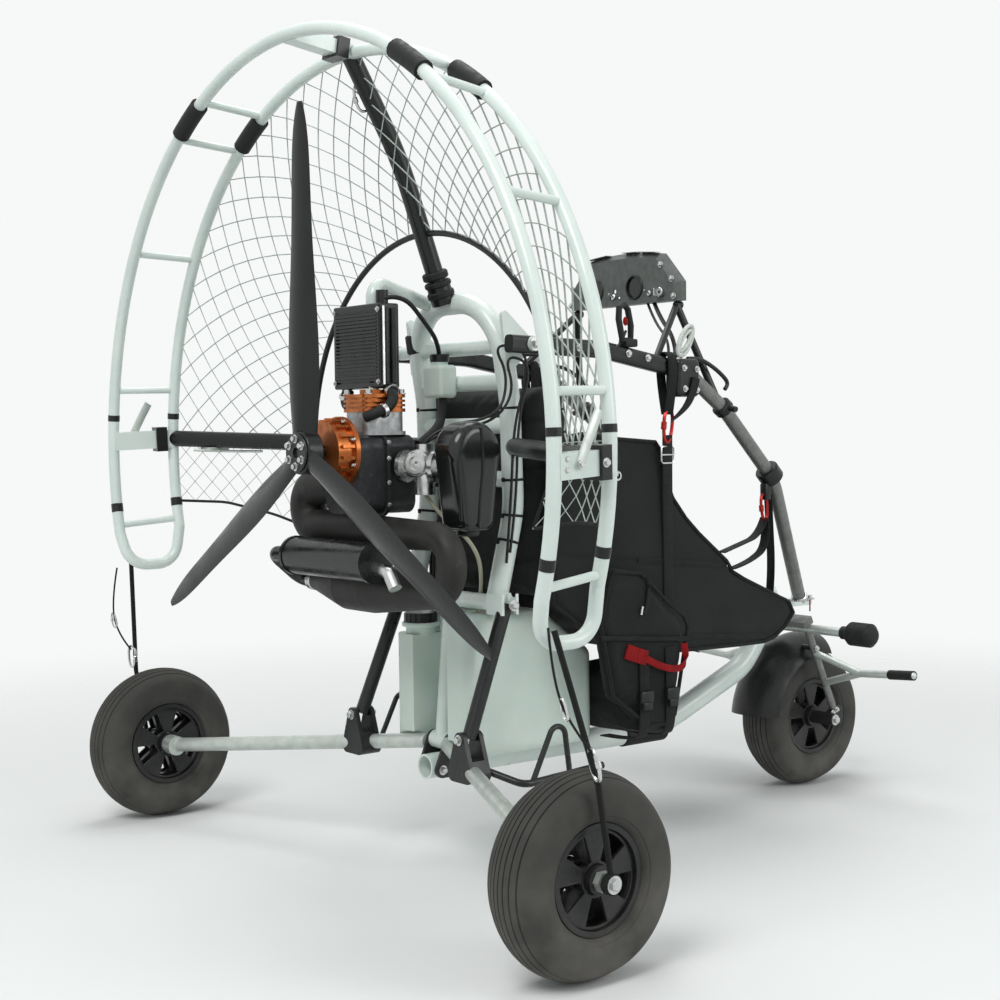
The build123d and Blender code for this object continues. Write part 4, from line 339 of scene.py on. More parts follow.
LOOKS = {
    "white_paint": dict(
        shade=(0.76, 0.84, 0.80), other=(0.68, 0.77, 0.73), rough=(0.26, 0.40), grain=9.0, scuff=0.35,
        scuff_shade=(0.52, 0.57, 0.54), dusty=0.25, coat_weight=0.35),
    "grey_paint": dict(
        shade=(0.20, 0.205, 0.195), other=(0.155, 0.16, 0.15), rough=(0.34, 0.5), grain=60.0, scuff=0.5,
        scuff_shade=(0.33, 0.33, 0.31), metallic=0.45),
    "black_paint": dict(
        shade=(0.010, 0.011, 0.011), other=(0.016, 0.018, 0.018), rough=(0.24, 0.4), grain=30.0, scuff=0.4,
        scuff_shade=(0.06, 0.06, 0.06), dusty=0.1, specular_ior_level=0.35),
    "silver_tube": dict(
        shade=(0.60, 0.65, 0.61), other=(0.50, 0.54, 0.51), rough=(0.32, 0.5), grain=40.0, scuff=0.6,
        scuff_shade=(0.36, 0.38, 0.36), dusty=0.35, metallic=0.55),
    "steel": dict(
        shade=(0.60, 0.61, 0.60), other=(0.48, 0.49, 0.48), rough=(0.2, 0.36), grain=50.0, scuff=0.5,
        scuff_shade=(0.3, 0.3, 0.3), metallic=1.0),
    "engine_alloy": dict(
        shade=(0.15, 0.155, 0.16), other=(0.085, 0.09, 0.094), rough=(0.38, 0.6), grain=90.0, bump=0.5,
        scuff=0.5, scuff_shade=(0.36, 0.36, 0.36), metallic=0.8),
    "bronze_anodised": dict(
        shade=(0.47, 0.145, 0.036), other=(0.33, 0.095, 0.024), rough=(0.26, 0.42), grain=60.0, scuff=0.4,
        scuff_shade=(0.66, 0.34, 0.16), metallic=0.75),
    "black_plastic": dict(
        shade=(0.010, 0.011, 0.011), other=(0.017, 0.018, 0.018), rough=(0.28, 0.44), grain=160.0, bump=0.2,
        scuff=0.35, scuff_shade=(0.04, 0.04, 0.04), dusty=0.12, specular_ior_level=0.3),
    "exhaust_black": dict(
        shade=(0.014, 0.015, 0.014), other=(0.028, 0.027, 0.024), rough=(0.46, 0.64), grain=22.0, bump=0.3,
        scuff=0.5, scuff_shade=(0.08, 0.077, 0.07), specular_ior_level=0.3),
    "tank_plastic": dict(
        shade=(0.72, 0.82, 0.76), other=(0.63, 0.74, 0.68), rough=(0.36, 0.5), grain=7.0, bump=0.2, dusty=0.3,
        subsurface_weight=0.25, subsurface_scale=0.03),
    "carbon": dict(
        shade=(0.010, 0.011, 0.011), other=(0.014, 0.015, 0.016), rough=(0.24, 0.38), grain=14.0, thread=420.0,
        scuff=0.2, scuff_shade=(0.04, 0.04, 0.04), specular_ior_level=0.35),
    "tyre_rubber": dict(
        shade=(0.044, 0.043, 0.040), other=(0.062, 0.060, 0.055), rough=(0.66, 0.85), grain=26.0, bump=0.4,
        scuff=0.45, scuff_shade=(0.085, 0.08, 0.072), dusty=0.22, specular_ior_level=0.2),
    "grip_rubber": dict(
        shade=(0.010, 0.011, 0.011), other=(0.017, 0.018, 0.018), rough=(0.5, 0.7), grain=80.0, bump=0.4,
        scuff=0.3, scuff_shade=(0.04, 0.04, 0.04), specular_ior_level=0.25),
    "seat_cloth": dict(
        shade=(0.009, 0.010, 0.010), other=(0.014, 0.016, 0.016), rough=(0.62, 0.82), grain=11.0, thread=330.0,
        thread_bump=0.5, scuff=0.3, scuff_shade=(0.03, 0.032, 0.031), sheen_weight=0.06, sheen_roughness=0.5,
        specular_ior_level=0.2),
    "strap": dict(
        shade=(0.009, 0.010, 0.010), other=(0.014, 0.016, 0.015), rough=(0.6, 0.8), grain=40.0, thread=520.0,
        thread_bump=0.7, scuff=0.3, scuff_shade=(0.035, 0.038, 0.036), sheen_weight=0.06,
        specular_ior_level=0.2),
    "dash_grey": dict(
        shade=(0.112, 0.124, 0.117), other=(0.084, 0.093, 0.088), rough=(0.4, 0.56), grain=70.0, bump=0.3,
        scuff=0.5, scuff_shade=(0.15, 0.155, 0.15), specular_ior_level=0.35),
    "net_cord": dict(
        shade=(0.50, 0.57, 0.52), other=(0.38, 0.44, 0.40), rough=(0.6, 0.8), grain=200.0),
    "case_alloy": dict(
        shade=(0.034, 0.036, 0.038), other=(0.020, 0.021, 0.022), rough=(0.36, 0.55), grain=90.0, bump=0.5,
        scuff=0.6, scuff_shade=(0.16, 0.16, 0.16), metallic=0.5),
    "cylinder_alloy": dict(
        shade=(0.40, 0.41, 0.41), other=(0.28, 0.29, 0.29), rough=(0.36, 0.55), grain=90.0, bump=0.5, scuff=0.5,
        scuff_shade=(0.5, 0.5, 0.5), metallic=0.85),
    "airbox_gloss": dict(
        shade=(0.008, 0.009, 0.009), other=(0.012, 0.013, 0.013), rough=(0.12, 0.24), grain=14.0, scuff=0.3,
        scuff_shade=(0.04, 0.04, 0.04), specular_ior_level=0.5),
    "silencer_black": dict(
        shade=(0.009, 0.010, 0.010), other=(0.016, 0.017, 0.016), rough=(0.2, 0.36), grain=22.0, scuff=0.5,
        scuff_shade=(0.05, 0.05, 0.05), specular_ior_level=0.4),
    "red_metal": dict(
        shade=(0.42, 0.018, 0.012), other=(0.30, 0.012, 0.009), rough=(0.22, 0.36), grain=60.0, scuff=0.3,
        scuff_shade=(0.55, 0.2, 0.16), metallic=0.6),
    "red_web": dict(
        shade=(0.46, 0.012, 0.014), other=(0.36, 0.009, 0.011), rough=(0.6, 0.8), grain=40.0, thread=520.0,
        thread_bump=0.7, specular_ior_level=0.2),
    "white_rope": dict(
        shade=(0.66, 0.70, 0.66), other=(0.55, 0.59, 0.55), rough=(0.6, 0.8), grain=120.0, bump=0.5),
    "fuel_hose": dict(
        shade=(0.46, 0.45, 0.33), other=(0.38, 0.37, 0.27), rough=(0.3, 0.45), grain=40.0),
    "gauge_glass": dict(
        shade=(0.006, 0.008, 0.008), other=(0.010, 0.012, 0.012), rough=(0.08, 0.16), grain=30.0),
}
FINISHES = {name: finish(name, **look) for name, look in LOOKS.items()}
OWN_FINISHES = {"crankcase": "case_alloy", "cylinder": "cylinder_alloy", "airbox": "airbox_gloss",
                "silencer": "silencer_black"}
slot_of = {row["node"]: row["material_slot"] for row in frame["record"]["subparts"]}
for node, thing in nodes.items():
    thing.data.materials.clear()
    thing.data.materials.append(FINISHES[OWN_FINISHES.get(node, slot_of[node])])
print("finishes:", len(FINISHES))

# %% [markdown]
# New pieces share a few ways of being made. A ring of points can be pulled along a path, one extrusion after
# another, which gives tubes and straps. A profile can be spun round an axle, which gives tyres and rings. Small
# fasteners are built many at a time in one mesh, because hundreds of single objects are slow to handle.

# %% Ways of making pieces
WASHER_THICK = 0.0016


def made(name, bm, look, body="chassis", crease=32.0):
    """Turn a finished bmesh into a piece of the trike that rides on a body."""
    bmesh.ops.remove_doubles(bm, verts=bm.verts, dist=1e-6)
    bmesh.ops.recalc_face_normals(bm, faces=bm.faces)
    mesh = bpy.data.meshes.new(name)
    bm.to_mesh(mesh)
    bm.free()
    for face in mesh.polygons:
        face.use_smooth = True
    mesh.set_sharp_from_angle(angle=radians(crease))
    piece = bpy.data.objects.new(name, mesh)
    scene.collection.objects.link(piece)
    mesh.materials.append(FINISHES[look])
    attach(piece, body)
    return piece


def smooth_route(points, steps=6):
    """Points of a NURBS line that rounds the corners of a route."""
    curve = bpy.data.curves.new("route", "CURVE")
    curve.dimensions = "3D"
    curve.resolution_u = steps
    line = curve.splines.new("NURBS")
    line.points.add(len(points) - 1)
    for control, point in zip(line.points, points):
        control.co = (*point, 1)
    line.order_u = 3
    line.use_endpoint_u = True
    holder = bpy.data.objects.new("route", curve)
    mesh = bpy.data.meshes.new_from_object(holder)
    places = [vertex.co.copy() for vertex in mesh.vertices]
    bpy.data.meshes.remove(mesh)
    bpy.data.objects.remove(holder)
    bpy.data.curves.remove(curve)
    return places


def frames_along(points, side=None):
    """A matrix at each point of a path, Z along it, turned as little as possible from one to the next."""
    runs = [(b - a).normalized() for a, b in zip(points, points[1:])]
    headings = [runs[0]] + [(a + b).normalized() for a, b in zip(runs, runs[1:])] + [runs[-1]]
    across = Vector(side) if side is not None else headings[0].orthogonal()
    matrices = []
    for point, heading in zip(points, headings):
        across = (across - across.dot(heading) * heading).normalized()
        turned = Matrix((across, heading.cross(across), heading)).transposed().to_4x4()
        matrices.append(Matrix.Translation(point) @ turned)
        if side is not None:
            across = Vector(side)
    return matrices


def pulled(bm, outline, matrices):
    """Pull a closed outline from matrix to matrix and close both ends."""
    ring = [bm.verts.new(matrices[0] @ Vector((u, v, 0))) for u, v in outline]
    edges = [bm.edges.new((a, b)) for a, b in zip(ring, ring[1:] + ring[:1])]
    bm.faces.new(ring)
    for before, after in zip(matrices, matrices[1:]):
        grown = bmesh.ops.extrude_edge_only(bm, edges=edges)["geom"]
        ring = [part for part in grown if isinstance(part, bmesh.types.BMVert)]
        edges = [part for part in grown if isinstance(part, bmesh.types.BMEdge)]
        bmesh.ops.transform(bm, matrix=after @ before.inverted(), verts=ring)
    bmesh.ops.contextual_create(bm, geom=edges)


def round_outline(diameter, sides=10):
    return [(diameter / 2 * cos(2 * pi * n / sides), diameter / 2 * sin(2 * pi * n / sides)) for n in range(sides)]


def flat_outline(width, thick):
    """Webbing section: flat with softened edges."""
    half, rise = width / 2, thick / 2
    return [(-half, -rise / 2), (-half + rise, -rise), (half - rise, -rise), (half, -rise / 2),
            (half, rise / 2), (half - rise, rise), (-half + rise, rise), (-half, rise / 2)]


def tube(bm, points, diameter, sides=10, steps=6):
    """Round hose or cable on a smooth line through a route."""
    route = smooth_route(points, steps) if len(points) > 2 else points
    pulled(bm, round_outline(diameter, sides), frames_along(route))


def webbing(bm, points, width, thick, side):
    """Flat strap on a smooth line, its width lying along one direction."""
    route = smooth_route(points) if len(points) > 2 else points
    pulled(bm, flat_outline(width, thick), frames_along(route, side))


def towards(place, axis):
    """Matrix that puts a shape at a place with its Z along an axis."""
    return Matrix.Translation(place) @ Vector(axis).to_track_quat("Z", "Y").to_matrix().to_4x4()


def bolt(bm, place, axis, across, high, washer=1.5):
    """Hexagon head on a washer, standing on a face."""
    stand = towards(place, axis)
    disc = across * washer / 2
    bmesh.ops.create_cone(bm, cap_ends=True, segments=14, radius1=disc, radius2=disc, depth=WASHER_THICK,
                          matrix=stand @ Matrix.Translation((0, 0, WASHER_THICK / 2)))
    head = bmesh.ops.create_cone(bm, cap_ends=True, segments=6, radius1=across / 2, radius2=across / 2, depth=high,
                                 matrix=stand @ Matrix.Translation((0, 0, WASHER_THICK + high / 2)))
    edges = dict.fromkeys(edge for vert in head["verts"] for edge in vert.link_edges)
    rim = [edge for edge in edges if all((stand.inverted() @ vert.co).z > high for vert in edge.verts)]
    bmesh.ops.bevel(bm, geom=rim, offset=across * 0.1, segments=1, profile=0.5, affect="EDGES", material=-1)


def bolt_circle(bm, x, z, radius, count, first, facing, *sizes):
    """Bolts evenly round a circle in the middle of the trike that faces forwards (1) or back (-1)."""
    for n in range(count):
        turn = 2 * pi * n / count + first
        bolt(bm, spot(x, radius * cos(turn), z + radius * sin(turn)), (facing, 0, 0), *sizes)


def side_bolts(bm, rows):
    """Bolts on both sides of the trike with their heads outwards, listed for the left."""
    for side in SIDES:
        for x, y, z, across, high in rows:
            bolt(bm, spot(x, y * side, z), (0, side, 0), across, high)


def ringed(bm, profile, axis_place, axis, steps):
    """Spin a profile of points once round an axis."""
    verts = [bm.verts.new(point) for point in profile]
    edges = [bm.edges.new(pair) for pair in zip(verts, verts[1:])]
    bmesh.ops.spin(bm, geom=verts + edges, cent=axis_place, axis=axis, angle=2 * pi, steps=steps, use_merge=True)


def collared(bm, place, axis, outer, inner, length, round_off, steps=28):
    """Short sleeve with rounded rims round an axis."""
    stand = towards(place, axis)
    half = length / 2
    corners = [(inner, -half), (outer - round_off, -half), (outer, -half + round_off), (outer, half - round_off),
               (outer - round_off, half), (inner, half), (inner, -half)]
    profile = [stand @ Vector((r, 0, z)) for r, z in corners]
    ringed(bm, profile, place, stand.to_3x3() @ Vector((0, 0, 1)), steps)


def slab(bm, low, high, bevel, segments=2):
    """Box between two corners with rounded edges."""
    middle = (Vector(low) + Vector(high)) / 2
    size = Vector(high) - Vector(low)
    stand = Matrix.Translation(middle) @ Matrix.Diagonal((*size, 1))
    verts = bmesh.ops.create_cube(bm, size=1.0, matrix=stand)["verts"]
    edges = list(dict.fromkeys(edge for vert in verts for edge in vert.link_edges))
    bmesh.ops.bevel(bm, geom=edges, offset=bevel, segments=segments, profile=0.5, affect="EDGES", material=-1)


print("ways of making: pulled, ringed, collared, slab, bolt, tube, webbing")

# %% [markdown]
# The tyres are plain ribbed trike tyres: smooth round shoulders and a handful of grooves that run round the
# crown. A bump in the material would vanish at the outline, so the grooves are modelled. One half profile is
# drawn as points, grooves and all, and spun round the axle.

# %% Tyres with ribbed crowns
TYRE_RADIUS, BEAD_RADIUS, HALF_TREAD, CROWN_DROP = 0.165, 0.0883, 0.044, 0.016
GROOVES = [0.0, 0.0105, 0.0215, 0.033]
GROOVE_WIDTH, GROOVE_DEPTH = 0.0026, 0.0045


def crown_radius(offset):
    """Radius of the tread at a distance from the middle of the tyre."""
    return TYRE_RADIUS - CROWN_DROP * (offset / HALF_TREAD) ** 2


def tyre_profile():
    """Offsets from the middle and radii, from bead to bead."""
    half = []
    for groove in GROOVES:
        edge = GROOVE_WIDTH / 2
        floor_edge = edge * 0.6
        for offset, depth in ((-edge, 0), (-floor_edge, GROOVE_DEPTH), (floor_edge, GROOVE_DEPTH), (edge, 0)):
            if groove + offset >= 0:
                half.append((groove + offset, crown_radius(groove + offset) - depth))
    half.append((HALF_TREAD * 0.93, crown_radius(HALF_TREAD * 0.93)))
    # Shoulder, side wall and bead
    half += [(0.0490, 0.1462), (0.0534, 0.1390), (0.0556, 0.1290), (0.0560, 0.1190), (0.0548, 0.1085),
             (0.0520, 0.1000), (0.0505, 0.0992), (0.0500, 0.0975), (0.0465, 0.0925), (0.0405, 0.0895),
             (0.0380, BEAD_RADIUS)]
    return [(-offset, radius) for offset, radius in reversed(half)] + half


WHEELS = [
    # hub, body, middle of the wheel
    ("rear_left", "rear_wheel_left", spot(0, 724, HUB_Z)),
    ("rear_right", "rear_wheel_right", spot(0, -724, HUB_Z)),
    ("front", "front_wheel", spot(WHEELBASE, 0, HUB_Z)),
]
for hub, body, centre in WHEELS:
    bm = bmesh.new()
    profile = [centre + Vector((0, offset, radius)) for offset, radius in tyre_profile()]
    ringed(bm, profile + profile[:1], centre, (0, 1, 0), 112)
    tyre = made(hub + "_ribbed_tyre", bm, "tyre_rubber", body, crease=40)
    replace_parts(tyre, hub + "_tyre")
print("tyre points in the profile:", len(tyre_profile()))

# %% [markdown]
# The net keeps lines and hands out of the propeller. It is knotted from thin cord in diamonds and stretched
# from the front hoop to the smaller rim. A grid is bent onto that surface, every square gets a centre point,
# and the square edges are dissolved, which leaves diamonds. A Wireframe modifier turns each edge into cord.
# Below each arm a smaller patch hangs down to a black edge cord. The right one stays near the hoop.

# %% Safety net
CORD = 0.0034
CAGE_TURN = 1.5  # degrees that the cage leans to its right
HOOP_X, HOOP_Z, HOOP_R = 60.0, 827.0, 733.0
RIM_X, RIM_Z, RIM_R = 232.0, 823.0, 422.0


def net_patch(name, across, along, place, cord=CORD):
    """Diamond net on a surface given by a place for each pair of shares from 0 to 1."""
    bm = bmesh.new()
    bmesh.ops.create_grid(bm, x_segments=along, y_segments=across, size=0.5)
    squares = list(bm.edges)
    poked = bmesh.ops.poke(bm, faces=bm.faces)
    inner = [edge for edge in squares if edge.is_valid and len(edge.link_faces) == 2]
    bmesh.ops.dissolve_edges(bm, edges=inner, use_verts=False)
    for vert in bm.verts:
        vert.co = place(vert.co.x + 0.5, vert.co.y + 0.5)
    piece = made(name, bm, "net_cord")
    wires = piece.modifiers.new("cords", "WIREFRAME")
    wires.thickness = cord
    wires.use_even_offset = False
    wires.use_boundary = True
    print(name, "diamonds:", len(piece.data.polygons), "centres:", len(poked["verts"]))
    return piece


def main_net(along, across):
    """Place on the cone from the front hoop to the rim, drawn in a little between them."""
    turn = radians(CAGE_TURN + 180 * along)
    outer = Vector((HOOP_X, HOOP_R * cos(turn), HOOP_Z + HOOP_R * sin(turn)))
    inner = Vector((RIM_X, RIM_R * cos(turn), RIM_Z + RIM_R * sin(turn)))
    point = outer.lerp(inner, across)
    return spot(point.x - 7 * sin(pi * across), point.y, point.z)


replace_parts(net_patch("net_upper", 6, 33, main_net), "net")
NET_EDGE = [(56, 724, 706), (110, 600, 704), (130, 425, 682), (170, 300, 646), (176, 200, 640)]
ARM_EDGE = [(58, 726, 838), (110, 610, 836), (170, 480, 833), (240, 340, 829), (300, 215, 826)]


def lower_net(side, reach):
    """Place function for the patch below one arm, which reaches a share of the way in."""
    def share_of(points, share):
        runs = len(points) - 1
        step = min(int(share * runs), runs - 1)
        return Vector(points[step]).lerp(Vector(points[step + 1]), share * runs - step)

    def place(along, across):
        point = share_of(ARM_EDGE, along * reach).lerp(share_of(NET_EDGE, along * reach), across)
        return spot(point.x, side * point.y, point.z)

    return place


bm = bmesh.new()
for name, side, cells, reach in (("net_lower_left", 1, 11, 1.0), ("net_lower_right", -1, 5, 0.45)):
    place = lower_net(side, reach)
    net_patch(name, 3, cells, place, 0.0022)
    bottom = [place(n / 12, 1.0) for n in range(13)]
    inner_edge = [place(1.0, 1 - n / 5) for n in range(1, 5)]
    tube(bm, bottom + inner_edge, 0.006, sides=8)
made("net_edge_cords", bm, "strap")

# %% [markdown]
# The seat is a slung nylon harness: a padded back and base between two side panels. Padding is best made by
# letting the computer inflate it. Each pad starts as a smaller closed shape, is remeshed into even squares and
# swollen by a short cloth simulation, with a limit on how far any point may move, so it stays in its place.

# %% Swelling a padded shape


def swollen(piece, voxel, limit, pressure=4.0, frames=20):
    """Inflate a closed piece as cloth and keep the result as its mesh."""
    remesh = piece.modifiers.new("even", "REMESH")
    remesh.mode = "VOXEL"
    remesh.voxel_size = voxel
    keep_result(piece)
    before = places_of(piece.data)
    cloth = piece.modifiers.new("cloth", "CLOTH")
    cloth.settings.quality = 4
    cloth.settings.mass = 0.25
    cloth.settings.tension_stiffness = 20
    cloth.settings.compression_stiffness = 20
    cloth.settings.bending_stiffness = 0.8
    cloth.settings.use_pressure = True
    cloth.settings.uniform_pressure_force = pressure
    cloth.settings.effector_weights.gravity = 0.0
    cloth.collision_settings.use_collision = False
    cloth.point_cache.frame_start = 1
    cloth.point_cache.frame_end = frames
    for step in range(1, frames + 1):
        scene.frame_set(step)
    keep_result(piece)
    scene.frame_set(1)
    after = places_of(piece.data)
    moved = after - before
    length = np.linalg.norm(moved, axis=1, keepdims=True)
    capped = before + moved * np.minimum(1.0, limit / np.maximum(length, 1e-9))
    piece.data.vertices.foreach_set("co", capped.astype(np.float32).ravel())
    piece.data.update()
    for face in piece.data.polygons:
        face.use_smooth = True
    print(piece.name, "points:", len(before), "largest move:", round(float(length.max()), 4))
    return piece


def keep_result(piece):
    """Make the modified shape the piece's own mesh."""
    graph = bpy.context.evaluated_depsgraph_get()
    mesh = bpy.data.meshes.new_from_object(piece.evaluated_get(graph))
    old = piece.data
    piece.modifiers.clear()
    piece.data = mesh
    bpy.data.meshes.remove(old)


def places_of(mesh):
    flat = np.zeros(len(mesh.vertices) * 3, np.float64)
    mesh.vertices.foreach_get("co", flat)
    return flat.reshape(-1, 3)


def sewn(piece, height_at, depth, width):
    """Press a groove into a pad wherever a distance function is near zero."""
    mesh = piece.data
    places = places_of(mesh)
    normals = np.zeros(len(mesh.vertices) * 3, np.float64)
    mesh.vertices.foreach_get("normal", normals)
    away = np.array([height_at(p) for p in places])
    press = depth * np.exp(-(away / width) ** 2)
    places -= normals.reshape(-1, 3) * press[:, None]
    mesh.vertices.foreach_set("co", places.astype(np.float32).ravel())
    mesh.update()


def side_shape(bm, outline, y_low, y_high, bevel):
    """Closed shape with an outline in X and Z, between two values of Y, all in drawing millimetres."""
    verts = [bm.verts.new(spot(x, y_low, z)) for x, z in outline]
    face = bm.faces.new(verts)
    grown = bmesh.ops.extrude_face_region(bm, geom=[face])["geom"]
    moved = [part for part in grown if isinstance(part, bmesh.types.BMVert)]
    bmesh.ops.translate(bm, vec=(0, (y_high - y_low) / 1000, 0), verts=moved)
    edges = list(dict.fromkeys(edge for vert in verts + moved for edge in vert.link_edges))
    bmesh.ops.bevel(bm, geom=edges, offset=bevel / 1000, segments=2, profile=0.5, affect="EDGES",
                    material=-1)


# %% [markdown]
# The seat back is a tall pad with three sewn channels across it, so it breaks into soft rolls. The base runs
# from the foot of the back to the nose above the front wheel, with its own cross seams.

# %% Seat back and seat base
bm = bmesh.new()
side_shape(bm, [(368, 520), (428, 520), (428, 948), (404, 952), (368, 940)], -182, 182, 14)
seat_back = swollen(made("seat_back_pad", bm, "seat_cloth", crease=180), 0.006, 0.011)
sewn(seat_back, lambda p: min(abs(p[2] - z) for z in (0.60, 0.69, 0.78, 0.87)), 0.006, 0.007)
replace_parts(seat_back, "seat_back")

bm = bmesh.new()
side_shape(bm, [(446, 562), (622, 454), (1076, 474), (1076, 430), (620, 410), (448, 520)], -182, 182, 9)
seat_base = swollen(made("seat_base_pad", bm, "seat_cloth", crease=180), 0.006, 0.010)
sewn(seat_base, lambda p: min(abs(p[0] + 0.6605 - x) for x in (0.56, 0.72, 0.86, 0.98)), 0.005, 0.007)
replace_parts(seat_base, "seat_base")

# %% [markdown]
# Each side panel is two layers of nylon over thin foam, cut with a hollow front edge where the thigh goes and
# a band along the bottom. It is only a centimetre thick, so it swells very little.

# %% Seat side panels
SIDE_OUTLINE = [
    # x, z
    (378, 516), (378, 844), (466, 854), (560, 842), (662, 834), (684, 808), (690, 762), (712, 716), (748, 674),
    (784, 642), (822, 613), (868, 578), (886, 554), (922, 536), (1003, 502), (1062, 476), (1079, 446), (1050, 414),
    (1010, 390), (980, 384), (900, 384), (760, 387), (566, 394), (470, 450),
]
for name, low, high in (("seat_side_left", 191, 201), ("seat_side_right", -201, -191)):
    bm = bmesh.new()
    side_shape(bm, SIDE_OUTLINE, low, high, 3)
    panel = swollen(made(name, bm, "seat_cloth", crease=180), 0.0045, 0.005, pressure=2.0)
    sewn(panel, lambda p: min(abs(p[2] - 0.583 + 0.095 * p[0]), abs(p[2] - 0.43 + 0.09 * p[0])), 0.002, 0.005)
    if name == "seat_side_left":
        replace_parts(panel, "seat_sides")

# %% [markdown]
# The reserve bag hangs on the right side of the seat and tucks under it. It is a stuffed nylon bag with a flat
# pouch against the side panel, so two closed shapes are drawn from the side. They run into each other, and the
# remesh makes one skin of both before it is swollen like the pads. A bevel's last digits can vary from run to run
# and would grow in the simulation, so the points are first rounded to a thousandth of a millimetre.

# %% Reserve bag
POUCH_OUTLINE = [
    # x, z
    (466, 470), (492, 560), (508, 584), (590, 576), (664, 512), (712, 478), (726, 450), (716, 400), (686, 266),
    (664, 246), (600, 246), (500, 320),
]
bm = bmesh.new()
side_shape(bm, [(582, 236), (668, 236), (688, 256), (716, 372), (582, 372)], -230, -44, 14)
side_shape(bm, POUCH_OUTLINE, -230, -208, 9)
for vert in bm.verts:
    vert.co = [round(value, 6) for value in vert.co]
bag = swollen(made("reserve_bag_body", bm, "seat_cloth", crease=180), 0.006, 0.008)
sewn(bag, lambda p: min(abs(p[2] - 0.432 + 0.08 * (p[0] + 0.07)), abs(p[2] - 0.30)), 0.003, 0.005)
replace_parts(bag, "reserve_bag")

# %% [markdown]
# Straps, cords and metal rings come back all over the trike. A ring is a bar pulled round a closed route, whose
# last section is bridged to the first. A carabiner is such a ring with one broad end and a sleeve for its gate,
# and a strap buckle is a flat ring with a bar across it.

# %% Rings, carabiners and buckles


def looped(bm, route, outline, normal):
    """Pull an outline round a closed route that lies in a plane."""
    heads = [(b - a).normalized() for a, b in zip(route[-1:] + route[:-1], route[1:] + route[:1])]
    rings = []
    for place, head in zip(route, heads):
        turned = Matrix((normal, head.cross(normal), head)).transposed().to_4x4()
        rings.append([bm.verts.new(Matrix.Translation(place) @ turned @ Vector((u, v, 0))) for u, v in outline])
    for ring, after in zip(rings, rings[1:] + rings[:1]):
        edges = []
        for loop in (ring, after):
            for a, b in zip(loop, loop[1:] + loop[:1]):
                edges.append(bm.edges.get((a, b)) or bm.edges.new((a, b)))
        bmesh.ops.bridge_loops(bm, edges=edges)


def plane_route(place, along, normal, shape):
    """Points of a flat route given as offsets across and along a direction."""
    along = Vector(along).normalized()
    across = Vector(normal).normalized().cross(along)
    return [place + across * u + along * v for u, v in shape]


def flat_ring(bm, place, along, normal, shape, bar, sides=8):
    """Round bar on a closed flat route."""
    looped(bm, plane_route(place, along, normal, shape), round_outline(bar, sides), Vector(normal).normalized())


def carabiner(bm, place, along, normal, length, width, bar=0.0062):
    """Ring with one broad end and a sleeve for its gate."""
    shape = []
    for n in range(20):
        turn = 2 * pi * n / 20
        side, rise = cos(turn), sin(turn)
        reach = (0.86 + 0.14 * rise) * abs(side) ** 0.75
        shape.append((copysign(width / 2 * reach, side), copysign(length / 2 * abs(rise) ** 0.85, rise)))
    flat_ring(bm, place, along, normal, shape, bar)
    gate = plane_route(place, along, normal, [(width / 2 * 0.86, 0)])[0]
    collared(bm, gate, along, bar * 0.8, bar * 0.3, length * 0.24, 0.001, 12)


def buckle(bm, place, along, normal, wide, tall, bar=0.004):
    """Flat ring with cut corners and a bar across it."""
    half, rise = wide / 2, tall / 2
    shape = [(half - bar, rise), (-half + bar, rise), (-half, rise - bar), (-half, -rise + bar),
             (-half + bar, -rise), (half - bar, -rise), (half, -rise + bar), (half, rise - bar)]
    flat_ring(bm, place, along, normal, shape, bar)
    tube(bm, plane_route(place, along, normal, [(half, 0), (-half, 0)]), bar, sides=8)


print("ring makers: looped, flat_ring, carabiner, buckle")

# %% [markdown]
# The propeller is clamped by a round pressure plate with six bolts. Each wheel has a flat face on both sides with
# five wedge-shaped windows and a valve stem, and a nut closes each rear spindle. The faces turn with their wheel
# and the plate with the propeller, so each is made for the body it rides on.

# %% Propeller and wheel fasteners
bm = bmesh.new()
collared(bm, spot(-65.2, 0, SHAFT_Z), (1, 0, 0), 0.037, 0.010, 0.0044, 0.0016, 40)
made("pressure_plate", bm, "black_paint", "propeller")
bm = bmesh.new()
bolt_circle(bm, -67.4, SHAFT_Z, 26, 6, pi / 6, -1, 0.011, 0.007)
made("propeller_bolts", bm, "steel", "propeller")
FACE_RINGS = (0.0240, 0.0290, 0.0730, 0.0785)
FACE_OUT, FACE_THICK, WINDOW_STEP = 0.036, 0.006, 72


def wheel_face(bm, centre, side):
    """Flat wheel face with five wedge-shaped windows, over those of the rim."""
    line = [bm.verts.new(centre + Vector((radius, FACE_OUT * side, 0))) for radius in FACE_RINGS]
    edges = [bm.edges.new(pair) for pair in zip(line, line[1:])]
    bmesh.ops.spin(bm, geom=line + edges, cent=centre, axis=(0, 1, 0), angle=2 * pi, steps=60, use_merge=True)
    windows, kept = [], []
    for face in bm.faces:
        out = face.calc_center_median() - centre
        if out.y * side > FACE_OUT - FACE_THICK / 2:
            in_ring = FACE_RINGS[1] < hypot(out.x, out.z) < FACE_RINGS[2]
            turn = degrees(atan2(out.z, out.x))
            (windows if in_ring and turn % WINDOW_STEP > WINDOW_STEP / 2 else kept).append(face)
    bmesh.ops.delete(bm, geom=windows, context="FACES")
    grown = bmesh.ops.extrude_face_region(bm, geom=kept)["geom"]
    points = [part for part in grown if isinstance(part, bmesh.types.BMVert)]
    bmesh.ops.translate(bm, verts=points, vec=(0, -FACE_THICK * side, 0))


